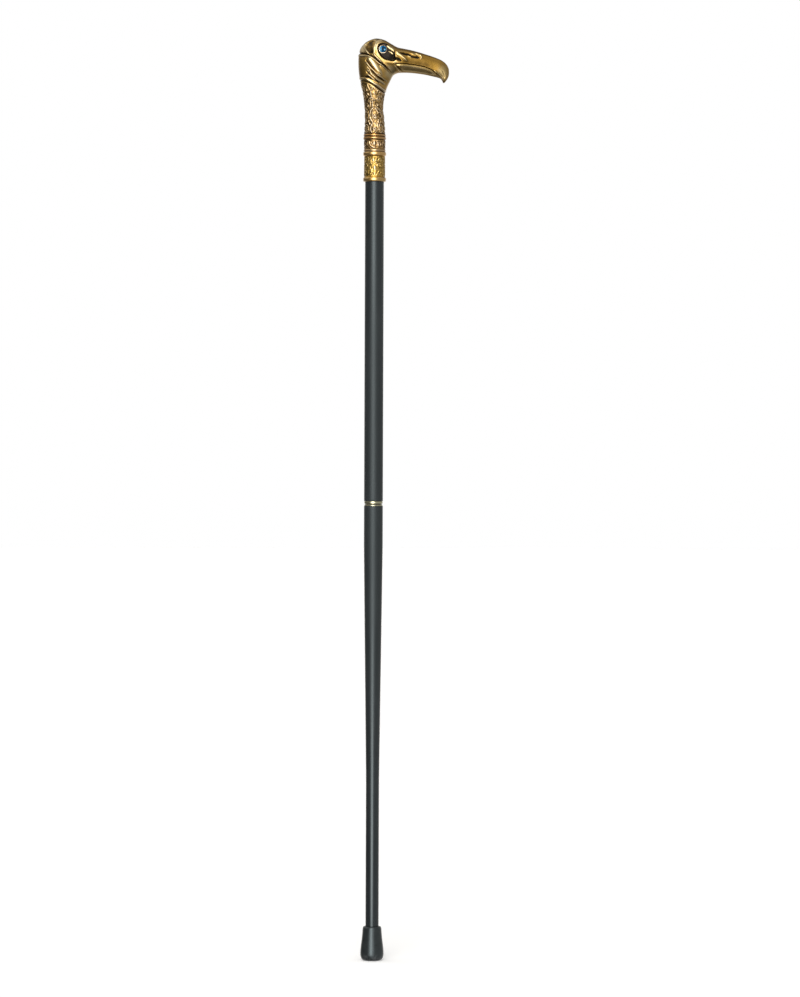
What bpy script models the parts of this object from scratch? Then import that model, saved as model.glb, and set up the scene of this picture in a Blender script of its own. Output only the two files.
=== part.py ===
"""Walking cane with a cast bird-head handle and a shaft that unscrews in two places.

Metres, +Z up the shaft. The origin is the centre of the rubber tip's flat
underside, and the beak points along +X. The dimensions below are in
millimetres and are turned into metres where the meshes are made.
"""
import math

import bmesh
import bpy
from mathutils import Matrix

MM = 0.001

# ---------------------------------------------------------------- rubber tip
TIP_HEIGHT = 34.0
TIP_FOOT_R = 11.75  # widest, just above the rounded foot edge
TIP_FOOT_Z = 7.5
TIP_FLAT_R = 7.2  # the flat underside
TIP_SHOULDER_R = 9.5
TIP_SHOULDER_Z = 31.2
TIP_POCKET_Z = 4.8
GRIP_GROOVES = ((3.4, 4.3), (5.8, 6.7))  # ring grooves in the underside
GRIP_GROOVE_DEPTH = 1.0

# --------------------------------------------------------------------- shaft
SHAFT_R = 9.4
WALL = 1.2
LOWER_SLIM_R = 6.6
LOWER_BOTTOM_Z = 6.4
TAPER_LOW_Z = 180.0
TAPER_HIGH_Z = 415.0
LOWER_TOP_Z = 454.2
UPPER_BOTTOM_Z = 459.1
UPPER_TOP_Z = 803.0
FIT = 0.25  # clearance around pieces fixed inside a tube
GAP = 0.3  # clearance between faces that meet

# ------------------------------------------------- shaft joint (unscrews here)
JOINT_FLANGE_R = 9.25
JOINT_LOWER_FLANGE = (454.4, 455.5)
JOINT_WASHER = (455.7, 456.3)
JOINT_WASHER_R = 8.6
JOINT_UPPER_FLANGE = (456.5, 458.9)
JOINT_PLUG_TOP_Z = 480.0
JOINT_SOCKET_BOTTOM_Z = 434.0

# ------------------------------------------------ handle joint (unscrews here)
COLLAR_BOTTOM_Z = 778.2
COLLAR_TOP_Z = 808.0
COLLAR_BEAD_R = 11.6
COLLAR_BODY_R = 10.6
COLLAR_BORE_R = 9.7
COLLAR_LIP_R = 6.2
INSERT_BOTTOM_Z = 783.0
INSERT_FLANGE = (803.3, 805.3)
HANDLE_WASHER = (808.1, 808.4)
HANDLE_WASHER_R = 9.9
HANDLE_BOTTOM_Z = 808.5
NECK_BORE_R = 7.5
NECK_BORE_TOP_Z = 838.0
NECK_PLUG_TOP_Z = 836.0

# ------------------------------------------------- screw threads, right-handed
PITCH = 2.0
STUD_CREST_R = 5.0
STUD_ROOT_R = 3.75
THREAD_CLEAR = 0.25  # radial, between the stud's and the socket's thread
ENGAGED = 16.0  # eight turns
STUD_SHANK_R = 4.0
THREAD_SEGMENTS = 18

# ----------------------------------------------------------------------- eyes
EYE_X = 8.1
EYE_Z = 910.0
EYE_SEAT_R = 5.0
EYE_SEAT_Y = 9.2
SETTING_R = 4.6
SETTING_TOP_Y = 12.2
STONE_R = 3.45
STONE_BASE_Y = 10.1
STONE_TOP_Y = 12.7

COLOURS = {
    "antique_brass": ((0.44, 0.31, 0.15), 0.36, 1.0),
    "yellow_brass": ((0.56, 0.43, 0.20), 0.32, 1.0),
    "pale_brass": ((0.62, 0.56, 0.38), 0.30, 1.0),
    "satin_black": ((0.030, 0.033, 0.036), 0.34, 0.2),
    "steel": ((0.56, 0.57, 0.58), 0.34, 1.0),
    "rubber_black": ((0.018, 0.018, 0.019), 0.55, 0.0),
    "fibre_black": ((0.030, 0.028, 0.026), 0.85, 0.0),
    "plastic_black": ((0.040, 0.040, 0.042), 0.50, 0.0),
    "blue_glass": ((0.02, 0.16, 0.62), 0.08, 0.0),
    "gold_trim": ((0.80, 0.66, 0.34), 0.24, 1.0),
}

for old in list(bpy.data.objects):
    bpy.data.objects.remove(old, do_unlink=True)


def material(name, colour, rough, metal):
    mat = bpy.data.materials.new(name)
    mat.use_nodes = True
    bsdf = mat.node_tree.nodes["Principled BSDF"]
    bsdf.inputs["Base Color"].default_value = (*colour, 1.0)
    bsdf.inputs["Roughness"].default_value = rough
    bsdf.inputs["Metallic"].default_value = metal
    mat.diffuse_color = (*colour, 1.0)
    return mat


def finish(name, mesh, look, angle=35.0, parent=None, at=(0.0, 0.0, 0.0)):
    """Put a mesh in the scene as a named piece with a material of its own."""
    mesh.shade_smooth()
    mesh.set_sharp_from_angle(angle=math.radians(angle))
    obj = bpy.data.objects.new(name, mesh)
    bpy.context.collection.objects.link(obj)
    obj.location = at
    colour, rough, metal = COLOURS[look]
    mesh.materials.clear()
    mesh.materials.append(material(name + "_finish", colour, rough, metal))
    if parent is not None:
        obj.parent = parent
    return obj


def joint_empty(name, z):
    """An empty on the shaft's axis, where a piece screws or slides."""
    empty = bpy.data.objects.new(name, None)
    empty.empty_display_size = 0.02
    empty.location = (0.0, 0.0, z * MM)
    bpy.context.collection.objects.link(empty)
    return empty


def turned(name, profile, look, segments=36, closed=True, parent=None, angle=35.0):
    """Turn a profile of (radius, z) points about Z with a Screw modifier.

    The points run down the outer side and back up the inner side.
    """
    base = parent.location.z if parent is not None else 0.0
    bm = bmesh.new()
    verts = [bm.verts.new((r * MM, 0.0, z * MM - base)) for r, z in profile]
    for a, b in zip(verts, verts[1:]):
        bm.edges.new((a, b))
    if closed:
        bm.edges.new((verts[-1], verts[0]))
    mesh = bpy.data.meshes.new(name)
    bm.to_mesh(mesh)
    bm.free()
    obj = finish(name, mesh, look, angle, parent)
    screw = obj.modifiers.new("turn", "SCREW")
    screw.axis = "Z"
    screw.angle = 2.0 * math.pi
    screw.steps = screw.render_steps = segments
    screw.use_merge_vertices = True
    screw.merge_threshold = 0.00001
    screw.use_smooth_shade = True
    return obj


def bead(low, high, outer, inner, steps=5):
    """A rounded bead's outline from top to bottom, standing out of radius inner."""
    mid, half = 0.5 * (low + high), 0.5 * (high - low)
    out = []
    for i in range(steps + 1):
        a = math.pi * (0.5 - i / steps)
        out.append((inner + (outer - inner) * max(0.0, math.cos(a)) ** 0.7, mid + half * math.sin(a)))
    return out


# ------------------------------------------------------------------- threads
THREAD_ROWS = ((0.00, 0), (0.30, 1), (0.50, 1), (0.80, 0))  # phase, 1 on the crest


def thread_grid(bm, low, high, crest, root, base, lead, open_top):
    """Columns of vertices that follow a right-hand helix between two flat ends.

    The thread fades to the root radius over the length lead at each end, or, at
    an open top, widens to the crest radius so that the thread runs out there.
    """
    n = THREAD_SEGMENTS
    per = len(THREAD_ROWS)
    turns = int((high - low) / PITCH) + 4
    depth = crest - root
    columns = []
    for j in range(n):
        a = 2.0 * math.pi * j / n
        column = []
        for i in range(turns * per):
            phase, on_crest = THREAD_ROWS[i % per]
            z = low - 2.0 * PITCH + (i // per + phase + j / n) * PITCH
            z = min(max(z, low), high)
            r = crest if on_crest else root
            r = min(r, root + depth * (z - low) / lead)
            if open_top:
                r = max(r, crest - depth * (high - z) / lead)
            else:
                r = min(r, root + depth * (high - z) / lead)
            column.append(bm.verts.new((r * MM * math.cos(a), r * MM * math.sin(a), z * MM - base)))
        columns.append(column)
    for j in range(n):
        # the last column meets the first one a turn higher up
        left, right = columns[j], columns[(j + 1) % n]
        shift = per if j == n - 1 else 0
        for i in range(len(left) - 1 - shift):
            bm.faces.new((left[i], right[i + shift], right[i + 1 + shift], left[i + 1]))


def ring(bm, r, z, base, n=THREAD_SEGMENTS):
    return [
        bm.verts.new((r * MM * math.cos(2.0 * math.pi * j / n), r * MM * math.sin(2.0 * math.pi * j / n), z * MM - base))
        for j in range(n)
    ]


def bridge(bm, lower, upper):
    n = len(lower)
    for j in range(n):
        k = (j + 1) % n
        bm.faces.new((lower[j], lower[k], upper[k], upper[j]))


def threaded_surface(low, high, crest, root, base, lead, open_top=False):
    """An open tube of thread with both ends flat, and its two end rings."""
    bm = bmesh.new()
    thread_grid(bm, low, high, crest, root, base, lead, open_top)
    bmesh.ops.remove_doubles(bm, verts=bm.verts, dist=1e-6)
    loose = [v for v in bm.verts if not v.link_faces]
    if loose:
        bmesh.ops.delete(bm, geom=loose, context="VERTS")
    edge = sorted((v for v in bm.verts if v.is_boundary), key=lambda v: (math.atan2(v.co.y, v.co.x) + 1e-5) % (2.0 * math.pi))
    bottom = [v for v in edge if abs(v.co.z - (low * MM - base)) < 1e-6]
    top = [v for v in edge if abs(v.co.z - (high * MM - base)) < 1e-6]
    return bm, bottom, top


def stud(name, parent, tip_z, thread_top_z, shank_low_z, shank_top_z):
    """A steel stud: thread below, a plain shank glued into its plug above."""
    base = parent.location.z if parent is not None else 0.0
    bm, bottom, top = threaded_surface(tip_z, thread_top_z, STUD_CREST_R, STUD_ROOT_R, base, 0.8)
    bm.faces.new(list(reversed(bottom)))
    rings = [top]
    for r, z in ((STUD_ROOT_R, shank_low_z), (STUD_SHANK_R, shank_low_z + 0.3), (STUD_SHANK_R, shank_top_z - 0.6), (STUD_SHANK_R - 0.6, shank_top_z)):
        rings.append(ring(bm, r, z, base))
    for a, b in zip(rings, rings[1:]):
        bridge(bm, a, b)
    bm.faces.new(rings[-1])
    bmesh.ops.recalc_face_normals(bm, faces=bm.faces)
    mesh = bpy.data.meshes.new(name)
    bm.to_mesh(mesh)
    bm.free()
    return finish(name, mesh, "steel", 30.0, parent)


def threaded_plug(name, parent, look, outline, mouth_z, thread_low_z, relief_r):
    """A plug with a threaded hole right through it.

    outline is its outer side as (radius, z) points from bottom to top; the
    thread runs from thread_low_z up to the mouth, and a plain relief below.
    """
    base = parent.location.z if parent is not None else 0.0
    crest = STUD_CREST_R + THREAD_CLEAR
    root = STUD_ROOT_R + THREAD_CLEAR
    bm, bottom, top = threaded_surface(thread_low_z, mouth_z - 0.4, crest, root, base, 0.8, open_top=True)
    mouth = ring(bm, crest + 0.15, mouth_z, base)
    bridge(bm, top, mouth)
    low_z = outline[0][1]
    step = ring(bm, relief_r, thread_low_z - 0.8, base)
    foot = ring(bm, relief_r, low_z, base)
    bridge(bm, step, bottom)
    bridge(bm, foot, step)
    rings = [foot] + [ring(bm, r, z, base) for r, z in outline] + [mouth]
    for a, b in zip(rings, rings[1:]):
        bridge(bm, a, b)
    bmesh.ops.recalc_face_normals(bm, faces=bm.faces)
    mesh = bpy.data.meshes.new(name)
    bm.to_mesh(mesh)
    bm.free()
    return finish(name, mesh, look, 30.0, parent)


# -------------------------------------------------------------- the bird head
# Each station of the handle joins a point on the back-and-top outline to a
# point on the front-and-under outline, in the XZ plane. The half-width is
# across the head, along Y, and the squareness fills out the oval section.
STATIONS = (
    # back/top x, z     front/under x, z   half-width  squareness
    (-10.4, 826.4, 10.4, 826.4, 10.4, 2.0),
    (-10.1, 832.0, 10.2, 832.0, 10.1, 2.0),
    (-9.9, 841.0, 9.5, 841.0, 9.7, 2.0),
    (-10.1, 850.0, 8.4, 850.0, 9.4, 2.0),
    (-10.8, 859.0, 8.7, 858.0, 9.9, 2.0),
    (-12.1, 868.0, 10.3, 867.0, 10.8, 2.1),
    (-13.6, 876.0, 11.7, 873.3, 11.8, 2.1),
    (-14.8, 884.0, 13.0, 877.2, 12.7, 2.2),
    (-15.8, 891.5, 14.1, 879.8, 13.4, 2.2),
    (-17.0, 899.5, 15.0, 881.6, 13.9, 2.3),
    (-15.2, 905.0, 15.7, 883.0, 14.0, 2.3),
    (-14.5, 911.0, 16.5, 884.3, 14.0, 2.3),
    (-10.8, 915.7, 17.4, 885.4, 14.0, 2.3),
    (-5.5, 919.3, 18.7, 886.4, 14.0, 2.3),
    (1.0, 921.7, 20.6, 887.1, 14.0, 2.3),
    (8.8, 920.2, 23.0, 887.5, 13.9, 2.3),
    (16.2, 916.3, 26.0, 887.8, 13.4, 2.3),
    (22.5, 912.8, 29.3, 887.9, 12.4, 2.2),
    (29.0, 911.4, 33.3, 887.8, 11.0, 2.1),
    (36.0, 910.0, 38.2, 887.5, 9.8, 2.0),
    (43.0, 908.1, 43.6, 886.9, 8.7, 2.0),
    (49.6, 906.1, 49.2, 886.0, 7.7, 2.0),
    (56.0, 904.1, 54.2, 885.0, 6.8, 2.0),
    (61.6, 902.0, 58.6, 884.0, 6.0, 2.0),
    (66.6, 899.6, 62.1, 883.1, 5.3, 2.0),
    (70.6, 896.4, 64.5, 882.2, 4.6, 2.0),
    (73.2, 892.4, 65.9, 881.3, 4.0, 2.0),
    (74.2, 888.0, 66.7, 880.3, 3.5, 2.0),
    (73.8, 884.0, 67.3, 879.3, 3.1, 2.0),
    (72.2, 880.6, 67.8, 878.2, 2.2, 2.0),
    (69.8, 877.6, 68.2, 877.2, 1.1, 2.0),
)
HEAD_SEGMENTS = 28

# the turned foot of the neck, from the parting line up to the double bead
NECK_FOOT = (
    (10.6, HANDLE_BOTTOM_Z),
    (10.95, HANDLE_BOTTOM_Z + 0.4),
    (11.0, HANDLE_BOTTOM_Z + 1.0),
    (10.8, HANDLE_BOTTOM_Z + 1.7),
    (10.45, HANDLE_BOTTOM_Z + 2.2),
    (10.7, HANDLE_BOTTOM_Z + 2.7),
    (10.7, 819.4),
    (10.3, 820.1),
    (11.1, 820.7),
    (11.4, 821.6),
    (11.1, 822.7),
    (10.5, 823.3),
    (11.0, 823.9),
    (11.2, 824.6),
    (10.7, 825.5),
)


def between(a, b, c, d, t):
    """Catmull-Rom value between b and c."""
    return 0.5 * ((2 * b) + (c - a) * t + (2 * a - 5 * b + 4 * c - d) * t * t + (3 * b - a - 3 * c + d) * t ** 3)


def refined(stations):
    """The stations with a smooth one put in between each pair that lies wide apart."""
    out = []
    last = len(stations) - 1
    for i in range(last):
        a, b, c, d = (stations[max(0, min(last, k))] for k in (i - 1, i, i + 1, i + 2))
        out.append(b)
        if max(math.dist(b[:2], c[:2]), math.dist(b[2:4], c[2:4])) > 5.5:
            out.append(tuple(between(a[k], b[k], c[k], d[k], 0.5) for k in range(6)))
    out.append(stations[-1])
    return out


def station_ring(bm, s):
    """One oval ring of the handle; its first vertex is on the front outline."""
    ax, az, bx, bz, half, power = s
    cx, cz = 0.5 * (ax + bx), 0.5 * (az + bz)
    ux, uz = 0.5 * (bx - ax), 0.5 * (bz - az)
    verts = []
    for j in range(HEAD_SEGMENTS):
        a = 2.0 * math.pi * j / HEAD_SEGMENTS
        c, sn = math.cos(a), math.sin(a)
        along = math.copysign(abs(c) ** (2.0 / power), c)
        across = math.copysign(abs(sn) ** (2.0 / power), sn)
        verts.append(bm.verts.new(((cx + ux * along) * MM, half * across * MM, (cz + uz * along) * MM)))
    return verts


def handle_mesh():
    bm = bmesh.new()
    rings = [station_ring(bm, (-r, z, r, z, r, 2.0)) for r, z in NECK_FOOT]
    rings += [station_ring(bm, s) for s in refined(STATIONS)]
    for a, b in zip(rings, rings[1:]):
        bridge(bm, a, b)
    bm.faces.new(list(reversed(rings[0])))
    bm.faces.new(rings[-1])
    bmesh.ops.recalc_face_normals(bm, faces=bm.faces)
    mesh = bpy.data.meshes.new("handle_casting")
    bm.to_mesh(mesh)
    bm.free()
    return mesh


def cylinder_cutter(name, radius, low, high, matrix, segments):
    """A wire-drawn cutter along its own Z from low to high, placed by matrix."""
    bm = bmesh.new()
    bmesh.ops.create_cone(bm, cap_ends=True, segments=segments, radius1=radius * MM, radius2=radius * MM, depth=(high - low) * MM)
    bmesh.ops.translate(bm, verts=bm.verts, vec=(0.0, 0.0, 0.5 * (low + high) * MM))
    bmesh.ops.transform(bm, verts=bm.verts, matrix=matrix)
    mesh = bpy.data.meshes.new(name)
    bm.to_mesh(mesh)
    bm.free()
    obj = bpy.data.objects.new(name, mesh)
    bpy.context.collection.objects.link(obj)
    obj.hide_render = True
    obj.display_type = "WIRE"
    return obj


def cut(obj, cutter, label):
    mod = obj.modifiers.new(label, "BOOLEAN")
    mod.operation = "DIFFERENCE"
    mod.solver = "EXACT"
    mod.object = cutter


handle = finish("handle_casting", handle_mesh(), "antique_brass", 40.0)
cut(handle, cylinder_cutter("neck_bore_cut", NECK_BORE_R, HANDLE_BOTTOM_Z - 2.0, NECK_BORE_TOP_Z, Matrix.Identity(4), 28), "neck_bore")
for side, sign in (("left", 1.0), ("right", -1.0)):
    turn = Matrix.Translation((EYE_X * MM, 0.0, EYE_Z * MM)) @ Matrix.Rotation(-sign * math.pi / 2, 4, "X")
    cut(handle, cylinder_cutter(f"eye_seat_cut_{side}", EYE_SEAT_R, EYE_SEAT_Y, 18.0, turn, 24), f"eye_seat_{side}")


# ----------------------------------------------------------------------- eyes
def eye_piece(name, profile, look, sign, closed, segments=24):
    """A small turned piece whose own Z points out of the side of the head."""
    obj = turned(name, [(r, z - EYE_SEAT_Y) for r, z in profile], look, segments, closed, angle=40.0)
    obj.location = (EYE_X * MM, sign * EYE_SEAT_Y * MM, EYE_Z * MM)
    obj.rotation_euler = (-sign * math.pi / 2, 0.0, 0.0)
    obj.parent = handle
    return obj


for side, sign in (("left", 1.0), ("right", -1.0)):
    eye_piece(
        f"eye_setting_{side}",
        [(0.0, STONE_BASE_Y - 0.2), (STONE_R + 0.2, STONE_BASE_Y - 0.2), (STONE_R + 0.2, SETTING_TOP_Y - 0.3), (3.9, SETTING_TOP_Y)]
        + [(4.35, SETTING_TOP_Y - 0.15), (SETTING_R, SETTING_TOP_Y - 0.6), (SETTING_R, EYE_SEAT_Y + 0.2), (0.0, EYE_SEAT_Y + 0.2)],
        "gold_trim",
        sign,
        False,
    )
    dome = [(STONE_R * math.sin(a), STONE_BASE_Y + 0.7 + (STONE_TOP_Y - STONE_BASE_Y - 0.7) * math.cos(a)) for a in (math.pi / 2 * i / 5 for i in range(6))]
    eye_piece(f"eye_stone_{side}", dome + [(STONE_R, STONE_BASE_Y), (0.0, STONE_BASE_Y)], "blue_glass", sign, False)

# ------------------------------------------------------- inside the neck
turned(
    "neck_plug",
    [(0.0, NECK_PLUG_TOP_Z), (NECK_BORE_R - FIT - 0.8, NECK_PLUG_TOP_Z), (NECK_BORE_R - FIT, NECK_PLUG_TOP_Z - 0.8), (NECK_BORE_R - FIT, HANDLE_BOTTOM_Z + 0.1)]
    + [(STUD_SHANK_R + FIT, HANDLE_BOTTOM_Z + 0.1), (STUD_SHANK_R + FIT, NECK_PLUG_TOP_Z - 2.0), (0.0, NECK_PLUG_TOP_Z - 2.0)],
    "yellow_brass",
    24,
    closed=False,
)
stud("handle_stud", None, INSERT_FLANGE[1] - ENGAGED, INSERT_FLANGE[1] + 0.8, HANDLE_BOTTOM_Z + 0.4, NECK_PLUG_TOP_Z - 2.4)

# --------------------------------------------- upper shaft, turns on the stud
upper = joint_empty("handle_screw_axis", HANDLE_BOTTOM_Z)
turned(
    "handle_washer",
    [(HANDLE_WASHER_R, HANDLE_WASHER[1]), (HANDLE_WASHER_R, HANDLE_WASHER[0]), (STUD_CREST_R + 0.5, HANDLE_WASHER[0]), (STUD_CREST_R + 0.5, HANDLE_WASHER[1])],
    "fibre_black",
    32,
    parent=upper,
)
turned(
    "collar",
    [(10.6, COLLAR_TOP_Z)]
    + bead(COLLAR_TOP_Z - 4.0, COLLAR_TOP_Z - 0.1, COLLAR_BEAD_R, 10.7)[1:-1]
    + [(10.6, COLLAR_TOP_Z - 4.0), (COLLAR_BODY_R, COLLAR_TOP_Z - 4.5), (COLLAR_BODY_R, COLLAR_BOTTOM_Z + 4.6), (10.6, COLLAR_BOTTOM_Z + 4.2)]
    + bead(COLLAR_BOTTOM_Z + 0.1, COLLAR_BOTTOM_Z + 4.1, COLLAR_BEAD_R, 10.7)[1:-1]
    + [(10.6, COLLAR_BOTTOM_Z), (COLLAR_BORE_R, COLLAR_BOTTOM_Z), (COLLAR_BORE_R, INSERT_FLANGE[1] + GAP), (COLLAR_LIP_R, INSERT_FLANGE[1] + GAP), (COLLAR_LIP_R, COLLAR_TOP_Z)],
    "yellow_brass",
    40,
    parent=upper,
)
INNER_R = SHAFT_R - WALL
threaded_plug(
    "top_insert",
    upper,
    "yellow_brass",
    [(INNER_R - FIT - 0.5, INSERT_BOTTOM_Z), (INNER_R - FIT, INSERT_BOTTOM_Z + 0.5), (INNER_R - FIT, INSERT_FLANGE[0]), (SHAFT_R - 0.1, INSERT_FLANGE[0]), (SHAFT_R - 0.1, INSERT_FLANGE[1] - 0.3), (SHAFT_R - 0.4, INSERT_FLANGE[1])],
    INSERT_FLANGE[1],
    INSERT_FLANGE[1] - ENGAGED - PITCH,
    STUD_CREST_R + 0.5,
)
turned(
    "upper_tube",
    [(SHAFT_R - 0.25, UPPER_TOP_Z), (SHAFT_R, UPPER_TOP_Z - 0.25), (SHAFT_R, UPPER_BOTTOM_Z + 0.5), (SHAFT_R - 0.4, UPPER_BOTTOM_Z)]
    + [(INNER_R, UPPER_BOTTOM_Z), (INNER_R, UPPER_TOP_Z)],
    "satin_black",
    40,
    parent=upper,
)

# -------------------------------------------------------------- shaft joint
turned(
    "joint_plug",
    [(INNER_R - FIT - 0.6, JOINT_PLUG_TOP_Z), (INNER_R - FIT, JOINT_PLUG_TOP_Z - 0.6), (INNER_R - FIT, JOINT_UPPER_FLANGE[1]), (JOINT_FLANGE_R - 0.15, JOINT_UPPER_FLANGE[1])]
    + [(JOINT_FLANGE_R, JOINT_UPPER_FLANGE[1] - 0.3), (JOINT_FLANGE_R, JOINT_UPPER_FLANGE[0] + 0.5), (JOINT_FLANGE_R - 0.4, JOINT_UPPER_FLANGE[0])]
    + [(STUD_SHANK_R + FIT, JOINT_UPPER_FLANGE[0]), (STUD_SHANK_R + FIT, JOINT_PLUG_TOP_Z)],
    "pale_brass",
    36,
    parent=upper,
)
stud("joint_stud", upper, JOINT_LOWER_FLANGE[1] - ENGAGED, JOINT_LOWER_FLANGE[1] + 0.2, JOINT_UPPER_FLANGE[0] + 0.2, JOINT_PLUG_TOP_Z - 1.0)

lower = joint_empty("shaft_screw_axis", JOINT_LOWER_FLANGE[1])
turned(
    "joint_washer",
    [(JOINT_WASHER_R, JOINT_WASHER[1]), (JOINT_WASHER_R, JOINT_WASHER[0]), (STUD_CREST_R + 0.5, JOINT_WASHER[0]), (STUD_CREST_R + 0.5, JOINT_WASHER[1])],
    "fibre_black",
    32,
    parent=lower,
)
threaded_plug(
    "joint_socket",
    lower,
    "pale_brass",
    [(INNER_R - FIT - 0.5, JOINT_SOCKET_BOTTOM_Z), (INNER_R - FIT, JOINT_SOCKET_BOTTOM_Z + 0.5), (INNER_R - FIT, JOINT_LOWER_FLANGE[0]), (JOINT_FLANGE_R, JOINT_LOWER_FLANGE[0]), (JOINT_FLANGE_R, JOINT_LOWER_FLANGE[1] - 0.3), (JOINT_FLANGE_R - 0.3, JOINT_LOWER_FLANGE[1])],
    JOINT_LOWER_FLANGE[1],
    JOINT_LOWER_FLANGE[1] - ENGAGED - PITCH,
    STUD_CREST_R + 0.5,
)
turned(
    "lower_tube",
    [(SHAFT_R - 0.25, LOWER_TOP_Z), (SHAFT_R, LOWER_TOP_Z - 0.25), (SHAFT_R, TAPER_HIGH_Z), (LOWER_SLIM_R, TAPER_LOW_Z), (LOWER_SLIM_R, LOWER_BOTTOM_Z)]
    + [(LOWER_SLIM_R - WALL, LOWER_BOTTOM_Z), (LOWER_SLIM_R - WALL, TAPER_LOW_Z), (INNER_R, TAPER_HIGH_Z), (INNER_R, LOWER_TOP_Z)],
    "satin_black",
    40,
    parent=lower,
)
turned(
    "end_plug",
    [(0.0, 24.0), (4.2, 24.0), (LOWER_SLIM_R - WALL - 0.2, 22.5), (LOWER_SLIM_R - WALL - 0.2, LOWER_BOTTOM_Z + 0.1), (0.0, LOWER_BOTTOM_Z + 0.1)],
    "plastic_black",
    24,
    closed=False,
    parent=lower,
)

# --------------------------------------------------------------- rubber tip
tip = joint_empty("tip_pull_axis", 0.0)
grooves = []
for inner, outer in reversed(GRIP_GROOVES):
    grooves += [(outer, 0.0), (outer - 0.15, GRIP_GROOVE_DEPTH), (inner + 0.15, GRIP_GROOVE_DEPTH), (inner, 0.0)]
pocket_r = LOWER_SLIM_R + GAP
turned(
    "rubber_tip",
    [(0.0, TIP_POCKET_Z), (pocket_r, TIP_POCKET_Z), (pocket_r, TIP_HEIGHT), (7.8, TIP_HEIGHT), (8.7, 33.5), (9.3, 32.5), (TIP_SHOULDER_R, TIP_SHOULDER_Z)]
    + [(9.75, 27.0), (10.25, 22.0), (10.95, 16.5), (11.55, 11.0), (TIP_FOOT_R, TIP_FOOT_Z), (11.65, 5.4), (11.2, 3.2), (10.3, 1.4), (8.9, 0.35), (TIP_FLAT_R, 0.0)]
    + grooves
    + [(0.0, 0.0)],
    "rubber_black",
    40,
    closed=False,
    parent=tip,
)
turned(
    "tip_washer",
    [(0.0, 6.1), (LOWER_SLIM_R - 0.2, 6.1), (LOWER_SLIM_R - 0.2, 5.0), (0.0, 5.0)],
    "steel",
    32,
    closed=False,
    parent=tip,
)
bpy.context.view_layer.update()
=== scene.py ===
import math

import bmesh
import bpy
import numpy as np
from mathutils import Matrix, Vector


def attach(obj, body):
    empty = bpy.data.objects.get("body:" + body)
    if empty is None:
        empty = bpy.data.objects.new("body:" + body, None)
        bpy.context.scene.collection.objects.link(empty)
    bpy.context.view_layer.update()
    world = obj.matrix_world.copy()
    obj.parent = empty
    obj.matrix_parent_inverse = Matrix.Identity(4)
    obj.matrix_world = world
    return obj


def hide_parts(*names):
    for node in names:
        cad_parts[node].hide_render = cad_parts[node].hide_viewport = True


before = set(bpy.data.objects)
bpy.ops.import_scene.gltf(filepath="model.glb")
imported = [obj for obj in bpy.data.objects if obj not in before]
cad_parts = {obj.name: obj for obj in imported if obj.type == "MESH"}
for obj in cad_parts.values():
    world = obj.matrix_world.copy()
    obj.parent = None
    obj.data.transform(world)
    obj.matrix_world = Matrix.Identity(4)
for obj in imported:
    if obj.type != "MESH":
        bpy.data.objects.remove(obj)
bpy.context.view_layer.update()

MM = 0.001
TAU = 2.0 * math.pi


# ============================================================ mesh helpers
def mesh_object(name, verts_mm, faces, smooth_angle=None):
    """An object from vertex positions in millimetres and a face array."""
    mesh = bpy.data.meshes.new(name)
    verts = np.asarray(verts_mm, dtype=np.float64) * MM
    mesh.vertices.add(len(verts))
    mesh.vertices.foreach_set("co", verts.ravel())
    counts = np.array([len(f) for f in faces]) if not isinstance(faces, np.ndarray) else np.full(len(faces), faces.shape[1])
    flat = np.concatenate([np.asarray(f) for f in faces]) if not isinstance(faces, np.ndarray) else faces.ravel()
    mesh.loops.add(int(counts.sum()))
    mesh.loops.foreach_set("vertex_index", flat.astype(np.int32))
    mesh.polygons.add(len(counts))
    starts = np.concatenate([[0], np.cumsum(counts)[:-1]]).astype(np.int32)
    mesh.polygons.foreach_set("loop_start", starts)
    mesh.update(calc_edges=True)
    mesh.validate()
    mesh.shade_smooth()
    if smooth_angle is not None:
        mesh.set_sharp_from_angle(angle=math.radians(smooth_angle))
    obj = bpy.data.objects.new(name, mesh)
    bpy.context.scene.collection.objects.link(obj)
    return obj


def grid_faces(rows, cols, wrap=True):
    """Quads of a grid whose rows go up and whose columns go round."""
    i = np.arange(rows - 1)[:, None]
    j = np.arange(cols if wrap else cols - 1)[None, :]
    k = (j + 1) % cols
    a, b, c, d = i * cols + j, i * cols + k, (i + 1) * cols + k, (i + 1) * cols + j
    return np.stack(np.broadcast_arrays(a, b, c, d), axis=-1).reshape(-1, 4)


def lathe(name, profile, segments=96, smooth_angle=38.0):
    """A turned piece. profile runs down the outer side as (radius, z) points in
    millimetres, and closes on itself or on the axis."""
    pts = np.array(profile, dtype=float)
    closed = not (abs(pts[0, 0]) < 1e-9 and abs(pts[-1, 0]) < 1e-9)
    a = np.arange(segments) * TAU / segments
    verts, ids = [], []
    for r, z in pts:
        if abs(r) < 1e-9:
            ids.append([len(verts)])
            verts.append((0.0, 0.0, z))
        else:
            ids.append(list(range(len(verts), len(verts) + segments)))
            verts.extend(zip(r * np.cos(a), r * np.sin(a), np.full(segments, z)))
    faces = []
    pairs = list(zip(ids, ids[1:])) + ([(ids[-1], ids[0])] if closed else [])
    for top, low in pairs:
        for j in range(segments):
            k = (j + 1) % segments
            if len(top) == 1 and len(low) == 1:
                break
            if len(top) == 1:
                faces.append((top[0], low[j], low[k]))
            elif len(low) == 1:
                faces.append((top[k], top[j], low[0]))
            else:
                faces.append((top[k], top[j], low[j], low[k]))
    return mesh_object(name, verts, faces, smooth_angle)


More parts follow.
